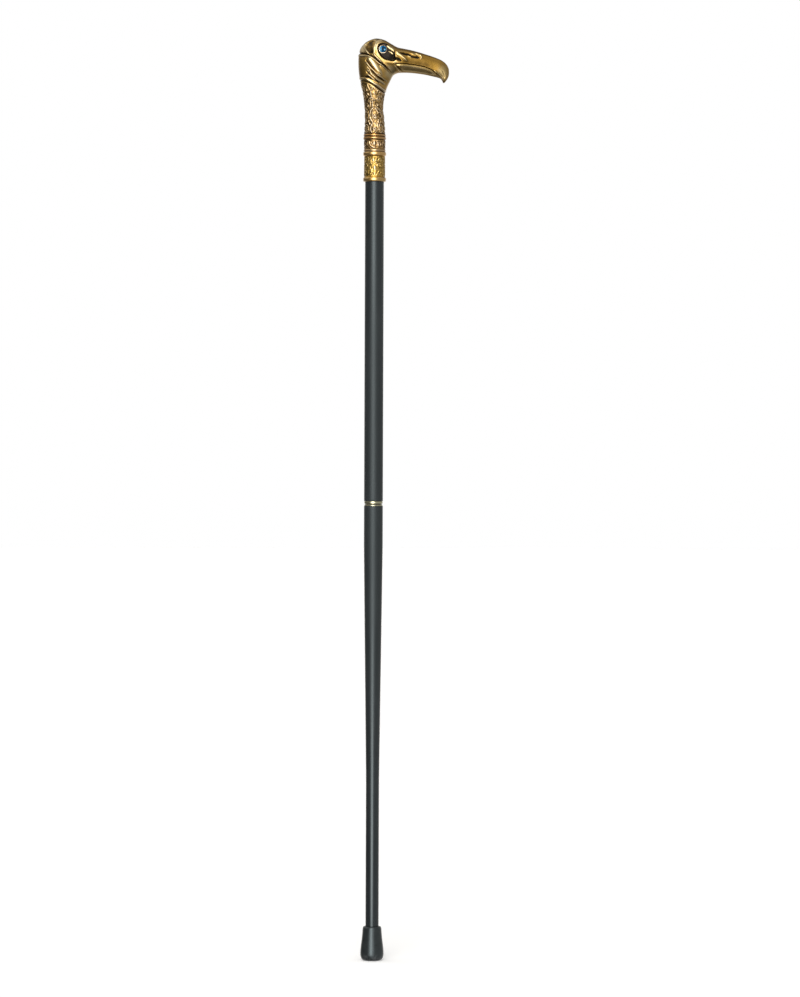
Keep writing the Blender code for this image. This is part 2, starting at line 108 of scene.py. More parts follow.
def rounded(points, radius, steps=4):
    """Round the corners of a profile; radius is one number or one for each point."""
    pts = [np.array(p, dtype=float) for p in points]
    radii = radius if isinstance(radius, (list, tuple)) else [radius] * len(pts)
    out = [tuple(pts[0])]
    for i in range(1, len(pts) - 1):
        p, a, b = pts[i], pts[i - 1] - pts[i], pts[i + 1] - pts[i]
        la, lb = np.linalg.norm(a), np.linalg.norm(b)
        r = min(radii[i], 0.45 * la, 0.45 * lb)
        if r < 1e-4:
            out.append(tuple(p))
            continue
        s, e = p + a / la * r, p + b / lb * r
        for k in range(steps + 1):
            t = k / steps
            out.append(tuple((1 - t) ** 2 * s + 2 * t * (1 - t) * p + t * t * e))
    out.append(tuple(pts[-1]))
    return out


# ==================================================== curves and relief maps
def smoothstep(x, lo, hi):
    t = np.clip((x - lo) / (hi - lo), 0.0, 1.0)
    return t * t * (3.0 - 2.0 * t)


def spline(points, steps=8):
    """Catmull-Rom through the points, any dimension."""
    p = np.array(points, dtype=float)
    if len(p) < 3:
        t = np.linspace(0.0, 1.0, steps + 1)[:, None]
        return p[0] * (1 - t) + p[-1] * t
    ext = np.vstack([2 * p[0] - p[1], p, 2 * p[-1] - p[-2]])
    out = []
    t = np.arange(steps)[:, None] / steps
    for i in range(1, len(ext) - 2):
        a, b, c, d = ext[i - 1], ext[i], ext[i + 1], ext[i + 2]
        out.append(0.5 * (2 * b + (c - a) * t + (2 * a - 5 * b + 4 * c - d) * t ** 2 + (3 * b - a - 3 * c + d) * t ** 3))
    out.append(p[-1:])
    return np.vstack(out)


def along(u, v, line):
    """Distance from each (u, v) to a polyline, the way along it from 0 to 1, and
    which side it lies on (positive to the left of the line's direction)."""
    line = np.asarray(line)
    seg = np.linalg.norm(np.diff(line, axis=0), axis=1)
    total = max(seg.sum(), 1e-9)
    start = np.concatenate([[0.0], np.cumsum(seg)])
    best = np.full(u.shape, 1e9)
    way = np.zeros(u.shape)
    side = np.zeros(u.shape)
    for i in range(len(seg)):
        if seg[i] < 1e-9:
            continue
        a, b = line[i], line[i + 1]
        dx, dz = (b - a) / seg[i]
        px, pz = u - a[0], v - a[1]
        t = np.clip(px * dx + pz * dz, 0.0, seg[i])
        qx, qz = px - t * dx, pz - t * dz
        d = np.hypot(qx, qz)
        near = d < best
        best = np.where(near, d, best)
        way = np.where(near, (start[i] + t) / total, way)
        side = np.where(near, dx * pz - dz * px, side)
    return best, way, side


def near_box(u, v, line, reach):
    line = np.asarray(line)
    lo, hi = line.min(0) - reach, line.max(0) + reach
    return (u > lo[0]) & (u < hi[0]) & (v > lo[1]) & (v < hi[1])


def stroke(u, v, points, half, height, taper=(0.0, 0.0), shape=2.0, steps=8, hold=0.0):
    """Height of a rounded ridge (or groove, if height is negative) along a line.

    half is the half-width, taper the shares of its length over which it thins at
    each end, shape the roundness (1 is a half-circle, 2 a soft bump) and hold
    the share of the half-width that is flat.
    """
    line = spline(points, steps)
    out = np.zeros(u.shape)
    m = near_box(u, v, line, half * 1.1)
    if not m.any():
        return out
    d, w, _ = along(u[m], v[m], line)
    width = np.full(d.shape, float(half))
    if taper[0] > 0:
        width *= np.clip(w / taper[0], 0.0, 1.0) ** 0.6 * 0.999 + 0.001
    if taper[1] > 0:
        width *= np.clip((1.0 - w) / taper[1], 0.0, 1.0) ** 0.6 * 0.999 + 0.001
    q = np.clip((d / width - hold) / (1.0 - hold), 0.0, 1.0)
    bump = np.sqrt(np.clip(1.0 - q * q, 0.0, 1.0)) if shape == 1 else (1.0 - q * q) ** shape
    out[m] = height * bump * np.minimum(1.0, width / half) ** 0.5
    return out


def inside(u, v, polygon, soft):
    """How far inside a closed outline each point lies: 0 outside, 1 at depth soft."""
    ring = spline(list(polygon) + [polygon[0]], 6)
    x, z = ring[:-1, 0], ring[:-1, 1]
    m = near_box(u, v, ring, 0.2)
    out = np.zeros(u.shape)
    if not m.any():
        return out
    pu, pv = u[m], v[m]
    odd = np.zeros(pu.shape, dtype=bool)
    j = len(x) - 1
    for i in range(len(x)):
        cross = (z[i] > pv) != (z[j] > pv)
        at = (x[j] - x[i]) * (pv - z[i]) / ((z[j] - z[i]) if abs(z[j] - z[i]) > 1e-12 else 1e-12) + x[i]
        odd ^= cross & (pu < at)
        j = i
    d, _, _ = along(pu, pv, ring)
    out[m] = np.where(odd, smoothstep(d, 0.0, soft), 0.0)
    return out


def blur(a, sigma, wrap_rows=False):
    """Gaussian blur of a grid: rows clamp, columns go round."""
    if sigma <= 0:
        return a
    n = int(3 * sigma) + 1
    k = np.exp(-0.5 * (np.arange(-n, n + 1) / sigma) ** 2)
    k /= k.sum()
    out = sum(w * np.roll(a, s, axis=1) for w, s in zip(k, range(-n, n + 1)))
    pad = np.pad(out, ((n, n), (0, 0)), mode="wrap" if wrap_rows else "edge")
    return sum(w * pad[n + s : n + s + a.shape[0]] for w, s in zip(k, range(-n, n + 1)))


# ============================================================ the bird's head
# The base form joins a point on the back-and-top outline to one on the
# front-and-under outline, in the XZ plane, with a half-width across the head.
HANDLE_LOW = 808.5
STATIONS = np.array([
    (-10.35, 826.4, 10.35, 826.4, 10.35, 2.0),
    (-10.1, 832.0, 10.2, 832.0, 10.1, 2.0),
    (-9.9, 841.0, 9.5, 841.0, 9.7, 2.0),
    (-10.1, 850.0, 8.4, 850.0, 9.4, 2.0),
    (-10.8, 859.0, 8.7, 858.0, 9.9, 2.0),
    (-12.3, 868.0, 10.5, 867.0, 10.8, 2.1),
    (-14.1, 876.0, 12.4, 872.9, 11.8, 2.1),
    (-15.6, 884.0, 14.0, 876.4, 12.7, 2.2),
    (-16.4, 891.5, 15.2, 878.9, 13.1, 2.2),
    (-16.6, 899.5, 16.1, 880.7, 13.2, 2.3),
    (-16.15, 905.0, 16.8, 882.2, 13.2, 2.3),
    (-14.7, 911.0, 17.6, 883.6, 13.2, 2.3),
    (-11.0, 916.0, 18.6, 884.8, 13.2, 2.3),
    (-5.6, 919.6, 19.9, 885.8, 13.2, 2.3),
    (1.0, 921.55, 21.7, 886.6, 13.2, 2.3),
    (8.9, 920.2, 23.2, 887.1, 13.1, 2.3),
    (16.2, 916.2, 26.2, 887.3, 12.7, 2.3),
    (22.5, 912.8, 29.4, 887.4, 11.9, 2.2),
    (29.0, 911.4, 33.4, 887.3, 10.8, 2.1),
    (36.0, 910.0, 38.2, 887.0, 9.7, 2.0),
    (43.0, 908.2, 43.6, 886.4, 8.6, 2.0),
    (49.6, 906.2, 49.2, 885.6, 7.6, 2.0),
    (56.0, 904.2, 54.2, 884.6, 6.7, 2.0),
    (61.6, 902.2, 58.6, 883.6, 5.9, 2.0),
    (66.8, 899.8, 62.1, 882.8, 5.2, 2.0),
    (70.9, 896.6, 64.5, 882.0, 4.5, 2.0),
    (73.5, 892.4, 65.9, 881.2, 3.9, 2.0),
    (74.15, 888.0, 66.7, 880.3, 3.4, 2.0),
    (73.7, 884.0, 67.3, 879.3, 2.9, 2.0),
    (72.1, 880.6, 67.8, 878.2, 2.1, 2.0),
    (69.8, 877.6, 68.2, 877.2, 1.0, 2.0),
])
NECK_FOOT = [
    (10.55, HANDLE_LOW), (10.80, HANDLE_LOW + 0.08), (10.95, HANDLE_LOW + 0.35), (11.0, HANDLE_LOW + 0.9), (10.9, HANDLE_LOW + 1.4), (10.66, HANDLE_LOW + 1.8),
    (10.42, HANDLE_LOW + 2.1), (10.45, HANDLE_LOW + 2.4), (10.6, HANDLE_LOW + 2.7), (10.6, 819.3), (10.5, 819.8), (10.3, 820.05),
    (10.72, 820.3), (11.15, 820.75), (11.38, 821.5), (11.3, 822.2), (10.98, 822.85), (10.45, 823.28), (10.82, 823.6), (11.12, 824.15), (11.14, 824.75), (10.9, 825.35), (10.45, 825.85),
]

# Lines on the side of the head, as (x, z - 800) in millimetres.
EYE = (8.1, 111.2)  # as seen
EYE_Z = 910.0  # where it is
SOCKET = [(3.1, 116.7), (6.1, 118.2), (10.1, 118.2), (13.4, 116.2), (16.1, 114.2), (18.7, 111.7), (20.7, 108.2), (21.1, 104.2), (20.9, 100.2),
          (18.6, 98.2), (14.1, 98.9), (10.1, 100.0), (6.6, 102.2), (4.1, 105.2), (2.3, 108.7), (1.8, 112.7)]
CROWN_EDGE = [(-6.9, 119.2), (-8.4, 118.2), (-9.4, 116.7), (-10.4, 115.2), (-10.9, 113.7), (-10.7, 112.2), (-9.9, 110.9), (-8.9, 109.5), (-7.6, 108.2), (-6.6, 107.2)]
GAPE = [(19.1, 95.9), (25.1, 96.2), (30.1, 96.2), (35.1, 95.5), (40.1, 94.9), (45.1, 94.0), (49.1, 93.2), (52.6, 91.9), (54.6, 91.2), (57.6, 89.7),
        (59.1, 88.2), (61.1, 86.7), (63.1, 84.9), (64.6, 83.4), (66.1, 81.9), (67.1, 80.2)]
CHEEK_EDGE = [(19.0, 95.0), (20.1, 93.4), (21.3, 92.2), (22.6, 91.2), (23.8, 90.2), (25.3, 89.0), (26.6, 88.2), (28.0, 87.2)]
JAW_HOLLOW = [(26.0, 91.2), (36.0, 90.8), (45.0, 89.6), (53.0, 87.6)]
NAPE_NOTCH = [(-18.9, 107.2), (-12.9, 106.5), (-9.9, 106.4), (-7.4, 105.9), (-4.9, 105.2), (-2.9, 104.2), (-1.3, 103.2), (0.1, 102.2), (2.1, 100.2),
              (4.3, 98.2), (6.3, 97.1), (7.9, 96.0), (9.6, 94.6), (11.1, 93.2), (13.1, 91.2), (14.6, 89.7), (16.6, 86.8)]
RUFF_RIM = [(-18.9, 104.2), (-12.9, 104.2), (-8.9, 104.2), (-6.4, 103.9), (-4.5, 103.2), (-2.9, 102.2), (-1.4, 101.2), (0.1, 100.2), (2.6, 98.2),
            (5.1, 96.2), (7.8, 94.2), (10.1, 92.2), (12.1, 90.2), (14.1, 88.2), (16.1, 86.2)]
RUFF_FOOT = [(-18.9, 81.6), (-12.9, 81.6), (-9.9, 81.4), (-7.9, 80.6), (-5.9, 79.5), (-3.9, 78.5), (-1.9, 77.4), (-0.4, 76.4), (3.0, 74.6), (6.5, 71.9),
             (9.6, 69.5), (14.0, 67.0)]
RUFF_FOOT_GROOVE = [(-19.0, 79.6), (-11.0, 79.0), (-7.0, 77.6), (-3.4, 75.9), (0.0, 73.9), (4.0, 71.1), (9.0, 67.7), (14.0, 65.2)]
FOLDS = [
    # line, half-width, height, tapers at its ends, polish (or patina, if negative); polish is rubbed wear and partly
    # painted highlight, most on the socket crescents, gape lip and hook edge
    # round the eye
    ([(8.1, 120.0), (5.1, 120.0), (2.6, 119.2), (1.3, 117.9), (0.8, 116.2), (0.1, 114.7), (-0.7, 112.7), (-1.0, 110.2), (-0.9, 107.2), (-0.3, 105.2),
      (1.6, 103.2), (3.8, 101.2), (5.8, 99.2), (8.1, 97.2)], 1.15, 0.60, (0.14, 0.18), 0.36),
    ([(-4.0, 119.4), (-2.2, 119.7), (0.0, 119.0)], 0.8, -0.25, (0.3, 0.3), -0.15),
    ([(9.6, 98.0), (12.6, 97.2), (16.0, 96.8), (20.0, 96.9)], 1.7, 0.12, (0.3, 0.3), -0.50),
    # two crescents inside the socket: polish 2.0 paints their highlight into the colour
    ([(11.2, 115.2), (13.1, 114.0), (15.1, 112.6), (17.1, 111.3), (18.6, 109.8), (19.0, 108.0)], 1.6, 0.75, (0.25, 0.25), 2.0),
    ([(12.8, 109.7), (14.6, 108.6), (16.4, 107.2), (18.2, 105.4)], 1.5, 0.80, (0.50, 0.12), 2.0),
    # nape
    ([(-6.6, 119.6), (-8.4, 118.2), (-9.4, 116.7), (-10.4, 115.2), (-10.9, 113.7), (-10.7, 112.2), (-9.9, 110.9), (-8.9, 109.5), (-7.6, 108.2), (-6.6, 107.2)],
     1.25, 0.42, (0.15, 0.2), 0.70),
    ([(-3.9, 101.4), (-1.6, 100.2), (0.1, 99.0), (2.1, 97.2), (3.9, 95.4), (5.1, 93.2)], 0.9, -0.45, (0.2, 0.4), -0.12),
    ([(-7.4, 102.4), (-5.4, 101.0), (-3.4, 99.0), (-1.4, 96.6), (0.3, 94.1), (1.9, 91.6), (3.6, 89.0), (5.4, 86.8), (7.6, 84.6)], 3.3, 0.66, (0.10, 0.18), 0.55),
    ([(-9.4, 100.2), (-8.2, 99.0), (-5.9, 97.0), (-3.9, 94.2), (-1.9, 92.2), (0.1, 90.2), (2.1, 88.2), (4.6, 86.9), (7.6, 85.0)], 1.25, -0.85, (0.15, 0.3), -0.26),
    ([(-10.3, 98.4), (-8.4, 97.2), (-5.9, 94.2), (-3.9, 92.2), (-1.9, 90.2), (0.1, 88.2), (2.1, 86.2), (3.7, 84.6), (5.8, 83.2), (7.6, 82.0), (10.1, 80.2), (12.1, 78.2)],
     1.2, 0.70, (0.2, 0.1), 0.70),
    ([(-7.4, 92.9), (-5.9, 91.9), (-3.9, 90.2), (-1.9, 88.2), (0.1, 86.2), (2.1, 84.2), (3.3, 83.2), (5.1, 82.0), (7.1, 80.7), (9.6, 78.5)], 1.1, -0.75, (0.2, 0.2), -0.26),
    ([(-7.9, 93.2), (-5.9, 91.2), (-4.9, 89.7), (-4.2, 87.7), (-3.6, 86.2), (-2.5, 85.2), (-1.2, 84.2), (0.7, 82.2), (3.1, 80.2), (5.3, 79.0), (8.1, 77.2), (10.1, 75.7)],
     1.25, 0.70, (0.2, 0.1), 0.72),
    ([(-8.4, 90.2), (-6.4, 89.0), (-4.4, 87.2)], 1.6, 0.35, (0.3, 0.3), 0.22),
    ([(-8.9, 89.2), (-7.9, 88.2), (-5.9, 86.2), (-3.4, 84.2), (-0.9, 82.2), (1.1, 80.2), (3.1, 78.2), (4.6, 76.4)], 1.1, -0.70, (0.2, 0.3), -0.28),
    ([(-7.9, 86.2), (-5.9, 85.2), (-4.9, 84.2), (-3.7, 83.2), (-2.4, 82.2), (-1.3, 81.2), (-0.4, 80.2), (0.9, 78.6)], 1.0, 0.55, (0.2, 0.3), 0.70),
    ([(-10.9, 83.7), (-7.9, 83.2), (-5.9, 82.9), (-4.9, 82.2), (-3.9, 81.2), (-2.6, 80.2)], 1.5, -0.80, (0.35, 0.4), -0.45),
    # beak
    ([(20.9, 109.2), (21.9, 108.2), (23.1, 107.0), (24.4, 106.0), (25.8, 105.0), (27.1, 104.0), (28.4, 102.8), (29.7, 101.6), (30.9, 100.2), (32.6, 98.6)],
     1.55, 0.85, (0.15, 0.25), 0.62),
    ([(18.5, 100.9), (21.3, 101.6), (24.2, 100.8), (26.8, 99.1)], 2.1, -0.75, (0.15, 0.35), -0.70),
    ([(24.6, 107.9), (26.6, 107.4), (30.1, 106.6), (34.1, 105.8), (37.1, 104.4), (40.6, 103.4), (44.9, 102.9)], 1.8, -1.15, (0.22, 0.10), -0.45),
    ([(36.6, 106.6), (40.0, 106.5), (43.4, 105.9)], 0.95, 0.35, (0.3, 0.3), 0.35),
    ([(40.4, 106.5), (43.6, 105.6), (45.4, 105.0), (46.3, 104.0), (46.6, 103.0), (46.3, 101.9), (45.2, 101.0)], 0.8, 0.60, (0.3, 0.3), 0.55),
    ([(32.6, 104.7), (34.6, 103.6), (35.6, 102.9), (37.0, 101.8)], 0.9, 0.75, (0.3, 0.3), 0.45),
    # gape lip: polish 1.20 is rubbed wear and painted highlight
    ([(21.6, 94.9), (28.1, 94.6), (34.1, 94.2), (39.1, 93.4), (44.1, 92.6), (47.1, 91.9), (51.1, 90.9), (54.1, 89.9), (56.1, 89.0), (57.3, 88.0), (58.6, 86.8), (60.1, 85.8), (61.4, 84.7)],
     1.05, 0.80, (0.08, 0.1), 1.20),
    ([(54.6, 88.4), (57.2, 87.0), (59.6, 85.2)], 1.9, 0.30, (0.3, 0.3), 0.70),
    # hook edge: polish 1.40 is rubbed wear and painted highlight
    ([(59.3, 89.6), (61.3, 88.2), (62.5, 87.2), (63.7, 86.2), (65.3, 85.2), (66.1, 84.2), (67.3, 83.2), (67.9, 82.2), (68.3, 81.2), (68.9, 79.4)], 1.15, 0.95, (0.15, 0.12), 1.40),
    ([(67.3, 90.4), (68.1, 88.2), (69.1, 85.7), (69.7, 82.8)], 0.8, -0.30, (0.3, 0.3), -0.15),
    ([(20.1, 94.0), (21.3, 92.6), (22.6, 91.4), (23.8, 90.3), (25.3, 89.1), (26.6, 88.2)], 0.85, 0.45, (0.2, 0.2), 0.40),
    ([(21.6, 93.9), (22.6, 92.7), (24.0, 91.5), (25.4, 90.4), (26.8, 89.4)], 0.6, -0.50, (0.2, 0.2), -0.40),
]

# ------------------------------------------------ scrollwork, in (s, z) maps
MAP_STEP = 0.1


def spiral(centre, radius, turns, start, sense=1, inner=0.25, steps=26):
    """Points of a spiral from its outside in, angles in degrees."""
    t = np.linspace(0.0, 1.0, steps)
    r = radius * (1.0 - t) + radius * inner * t
    a = np.radians(start) + sense * TAU * turns * t
    return np.stack([centre[0] + r * np.cos(a), centre[1] + r * np.sin(a)], axis=1)


class Panel:
    """A relief map over one panel, s across and z up, which repeats round the neck."""

    def __init__(self, width, low, high):
        self.width, self.low, self.high = width, low, high
        s = np.arange(-width / 2, width / 2, MAP_STEP)
        z = np.arange(low, high + MAP_STEP, MAP_STEP)
        self.s, self.z = np.meshgrid(s, z)
        self.h = np.zeros(self.s.shape)

    def add(self, pts, half, height, taper=(0.0, 0.0), shape=1.5, mirror=True, steps=6):
        """Lay a raised line on the map, and its mirror image on the other half."""
        pts = np.asarray(pts, dtype=float)
        for flip in (1.0, -1.0) if mirror else (1.0,):
            for shift in (-self.width, 0.0, self.width):
                p = pts * (flip, 1.0) + (shift, 0.0)
                if p[:, 0].max() < -self.width / 2 - half or p[:, 0].min() > self.width / 2 + half:
                    continue
                self.h = np.maximum(self.h, stroke(self.s, self.z, p, half, height, taper, shape, steps))

    def leaf(self, a, b, width, height, bend=0.0, mirror=True, rib=True):
        """A pointed leaf from a to b with a vein down the middle."""
        a, b = np.array(a, dtype=float), np.array(b, dtype=float)
        d = (b - a) / max(np.linalg.norm(b - a), 1e-9)
        n = np.array([-d[1], d[0]])
        mid = 0.5 * (a + b) + n * bend
        for flip in (1.0, -1.0) if mirror else (1.0,):
            for shift in (-self.width, 0.0, self.width):
                line = spline(np.array([a, mid, b]) * (flip, 1.0) + (shift, 0.0), 10)
                m = near_box(self.s, self.z, line, width)
                if not m.any():
                    continue
                dist, way, _ = along(self.s[m], self.z[m], line)
                w = width * np.sin(np.pi * np.clip(way, 0.02, 0.98) ** 0.8) ** 0.8 + 0.05
                q = np.clip(dist / w, 0.0, 1.0)
                bump = height * (1.0 - q ** 2.2) ** 0.8
                if rib:
                    bump -= 0.4 * height * np.exp(-((dist / 0.16) ** 2)) * (w > 0.4)
                new = self.h[m]
                self.h[m] = np.maximum(new, bump)

    def sample(self, s, z):
        """Bilinear height at (s, z), with s going round."""
        rows, cols = self.h.shape
        fs = (s + self.width / 2) / MAP_STEP
        fz = np.clip((z - self.low) / MAP_STEP, 0, rows - 1.001)
        i0, j0 = np.floor(fz).astype(int), np.floor(fs).astype(int)
        tz, ts = fz - i0, fs - np.floor(fs)
        j0, j1 = j0 % cols, (j0 + 1) % cols
        h = self.h
        return (h[i0, j0] * (1 - ts) + h[i0, j1] * ts) * (1 - tz) + (h[i0 + 1, j0] * (1 - ts) + h[i0 + 1, j1] * ts) * tz


def neck_panel():
    """Stem, loops and side scrolls for a quarter of the neck, at a radius of 10."""
    p = Panel(0.25 * TAU * 10.0, 824.0, 884.0)
    h = 0.42

    def line(pts, half, height=1.0, taper=(0.0, 0.0), shape=1.5):
        p.add(pts, half, height * h, taper, shape, mirror=False)

    def curl(centre, radius, turns, start, sense, half=0.5, height=0.9, inner=0.3):
        line(spiral(centre, radius, turns, start, sense, inner), half, height, (0.12, 0.0))

    # drop-shaped loop under the ruff, and the stem that hangs from it
    line([(-6.4, 878.6), (-5.4, 874.0), (-4.2, 871.0), (-3.1, 869.2)], 0.75, 1.1, (0.0, 0.1))
    line([(-3.1, 869.2), (-1.5, 871.4), (-1.1, 874.4), (-2.2, 877.6)], 0.6, 1.0, (0.1, 0.0))
    line([(-3.0, 873.6), (-2.4, 872.4)], 0.45, 0.8)
    line([(-3.1, 869.6), (-2.8, 866.6), (-2.4, 863.6), (-2.3, 861.6)], 0.68, 1.15, (0.1, 0.1))
    # arms, and two stems side by side
    line([(-2.3, 862.6), (-4.2, 861.6), (-5.9, 859.6), (-6.7, 857.0)], 0.55, 1.0, (0.1, 0.3))
    line([(-2.2, 862.6), (-0.6, 861.4), (0.9, 859.8), (2.0, 857.6)], 0.55, 0.95, (0.1, 0.3))
    line([(-4.0, 860.2), (-3.7, 856.6), (-3.9, 852.8)], 0.48, 0.9, (0.2, 0.3))
    line([(-1.7, 861.0), (-1.4, 857.0), (-1.2, 853.6), (-0.2, 851.6)], 0.62, 1.05, (0.2, 0.1))
    line([(-7.0, 856.6), (-6.3, 854.4), (-5.2, 853.2)], 0.5, 0.8, (0.3, 0.3))
    # oval loop, double on its left, with a curl inside
    line([(0.6, 852.4), (-1.6, 851.6), (-3.8, 849.0), (-5.0, 845.6), (-4.9, 842.4), (-3.6, 839.8), (-1.6, 838.0)], 0.82, 1.2, (0.08, 0.1))
    line([(-1.0, 849.6), (-2.0, 846.4), (-2.2, 843.2), (-1.6, 840.4)], 0.5, 0.95, (0.25, 0.15))
    curl((0.9, 843.4), 2.1, 1.05, 60, 1, 0.6, 1.05)
    line([(0.8, 852.2), (2.8, 850.8), (4.2, 848.2), (4.4, 845.4)], 0.62, 0.95, (0.1, 0.3))
    # lower loop and its curl
    line([(-1.4, 838.2), (-3.0, 835.8), (-4.1, 832.4), (-3.7, 829.0), (-1.9, 826.8), (0.3, 826.9), (1.9, 828.8)], 0.75, 1.15, (0.08, 0.1))
    curl((-0.6, 831.2), 1.9, 1.1, 120, -1, 0.55, 1.05)
    line([(-0.6, 838.2), (1.0, 836.0), (2.6, 834.4)], 0.6, 0.9, (0.2, 0.4))
    p.leaf((3.2, 836.6), (3.4, 829.4), 0.85, h, 0.4, mirror=False)
    # small leaves on the left
    for a, b, w in (((-7.6, 871.6), (-6.6, 868.4), 0.6), ((-7.0, 867.4), (-5.6, 864.6), 0.7), ((-7.9, 864.4), (-6.6, 862.2), 0.6),
                    ((-6.6, 849.6), (-7.6, 846.2), 0.55), ((-6.3, 838.2), (-5.3, 835.4), 0.65), ((-7.4, 832.2), (-6.0, 829.0), 0.65)):
        p.leaf(a, b, w, 0.85 * h, 0.1, mirror=False, rib=False)
    # scrolls on the right
    curl((4.3, 868.8), 2.7, 1.1, 150, -1, 0.6)
    line([(1.0, 871.6), (2.4, 873.2), (5.0, 873.2), (7.2, 871.2)], 0.55, 0.85, (0.3, 0.2))
    line([(0.2, 868.0), (0.9, 865.6), (2.2, 864.2)], 0.55, 0.8, (0.3, 0.3))
    curl((4.6, 861.6), 2.5, 1.05, 120, -1, 0.6)
    line([(7.2, 866.4), (8.2, 863.6), (8.3, 860.4)], 0.5, 0.75, (0.3, 0.3))
    curl((3.3, 855.6), 1.9, 0.95, 200, 1, 0.55)
    p.leaf((3.6, 852.8), (8.0, 848.6), 0.95, h, 0.5, mirror=False)
    line([(7.6, 857.8), (8.4, 855.0), (7.6, 852.2)], 0.5, 0.75, (0.3, 0.3))
    # round lobe, curls and a broad leaf below it
    line([(4.6, 847.0), (6.4, 848.0), (8.4, 846.6), (8.8, 844.0), (7.4, 842.0), (5.4, 842.4)], 0.7, 0.95, (0.1, 0.2))
    curl((5.6, 838.6), 2.2, 1.05, 80, 1, 0.6)
    line([(8.6, 842.2), (9.2, 839.4), (8.4, 836.4)], 0.5, 0.8, (0.3, 0.3))
    line([(5.4, 835.4), (7.4, 835.2), (9.0, 832.4), (8.4, 829.0), (6.4, 827.4), (4.9, 829.4), (4.8, 832.6), (5.4, 835.4)], 0.6, 0.95)
    p.leaf((6.9, 834.0), (6.7, 828.6), 1.0, 0.8 * h, 0.0, mirror=False)
    return p


def band_panel():
    """Leaf scroll for the band under the double bead, four times round."""
    p = Panel(0.25 * TAU * 10.0, 808.0, 822.0)
    h = 0.40

    def line(pts, half, height=1.0, taper=(0.0, 0.0)):
        p.add(pts, half, height * h, taper, 1.5, mirror=False)

    p.leaf((-0.5, 819.4), (-0.7, 814.4), 0.95, 1.1 * h, 0.2, mirror=False)
    line([(-5.0, 819.0), (-5.4, 816.8), (-3.6, 814.4), (-1.2, 812.8), (1.8, 812.0)], 0.72, 1.1, (0.1, 0.2))
    line([(-3.4, 818.8), (-3.0, 816.8), (-1.6, 815.4)], 0.5, 0.85, (0.3, 0.2))
    line([(-5.2, 812.6), (-3.4, 811.8), (-0.8, 811.4), (2.0, 811.4)], 0.5, 0.9, (0.2, 0.2))
    line(spiral((4.6, 815.6), 2.5, 1.1, 170, -1, 0.3), 0.62, 1.0, (0.1, 0.0))
    line([(1.4, 818.9), (3.0, 819.1), (5.6, 818.9)], 0.45, 0.75, (0.3, 0.3))
    line([(4.0, 812.0), (6.2, 811.4), (8.4, 812.6)], 0.5, 0.85, (0.3, 0.3))
    p.leaf((8.6, 818.8), (8.2, 814.2), 0.8, 0.9 * h, -0.3, mirror=False)
    return p


def collar_panel():
    """A tall lance leaf between scrolls, four times round the collar."""
    p = Panel(0.25 * TAU * 10.0, 780.0, 806.0)
    h = 0.32

    def line(pts, half, height=1.0, taper=(0.0, 0.0)):
        p.add(pts, half, height * h, taper, 1.5, mirror=False)

    p.leaf((0.2, 783.8), (0.0, 795.0), 1.75, 1.25 * h, mirror=False)
    line([(-2.7, 794.2), (-1.6, 796.4), (0.1, 797.8), (1.7, 796.4), (2.6, 794.2)], 0.72, 1.15, (0.25, 0.25))
    p.leaf((-0.6, 797.8), (-1.2, 803.6), 1.2, 1.1 * h, 0.3, mirror=False)
    p.leaf((1.2, 798.4), (2.2, 803.0), 0.8, 0.9 * h, -0.2, mirror=False)
    line([(-1.1, 783.8), (-2.8, 786.0), (-3.2, 789.2), (-2.4, 792.0)], 0.5, 0.9, (0.2, 0.2))
    line([(1.4, 783.8), (2.6, 785.6), (3.0, 788.4)], 0.5, 0.85, (0.2, 0.3))
    line(spiral((5.4, 799.8), 2.4, 1.1, 190, 1, 0.3), 0.62, 0.95, (0.1, 0.0))
    line(spiral((6.6, 793.8), 2.3, 1.05, 150, -1, 0.3), 0.6, 0.95, (0.1, 0.0))
    line(spiral((5.2, 787.6), 2.4, 1.1, 170, 1, 0.3), 0.62, 0.95, (0.1, 0.0))
    p.leaf((3.4, 795.8), (4.0, 791.8), 0.7, 0.85 * h, -0.2, mirror=False)
    line([(8.6, 803.2), (9.4, 800.8), (9.2, 798.2)], 0.5, 0.8, (0.3, 0.3))
    line([(8.8, 790.4), (9.6, 787.8), (8.8, 785.0)], 0.5, 0.8, (0.3, 0.3))
    # thin leaves on the left of the lance
    line([(-4.6, 802.8), (-3.6, 800.2), (-4.2, 797.6)], 0.42, 0.6, (0.3, 0.3))
    line([(-5.2, 794.8), (-4.3, 792.4), (-4.8, 789.6)], 0.42, 0.55, (0.3, 0.3))
    line([(-4.4, 787.2), (-4.0, 785.4)], 0.42, 0.55, (0.3, 0.3))
    return p


def resample(rows, spacing):
    """Rings interpolated along the handle so that neither outline steps by more
    than the spacing for that height."""
    fine = spline(rows, 24)
    step = np.maximum(np.hypot(*np.diff(fine[:, 0:2], axis=0).T), np.hypot(*np.diff(fine[:, 2:4], axis=0).T))
    z = 0.5 * (fine[:-1, 1] + fine[:-1, 3])
    cost = np.concatenate([[0.0], np.cumsum(step / spacing(z))])
    n = int(round(cost[-1]))
    at = np.linspace(0.0, cost[-1], n + 1)
    return np.stack([np.interp(at, cost, fine[:, k]) for k in range(fine.shape[1])], axis=1)


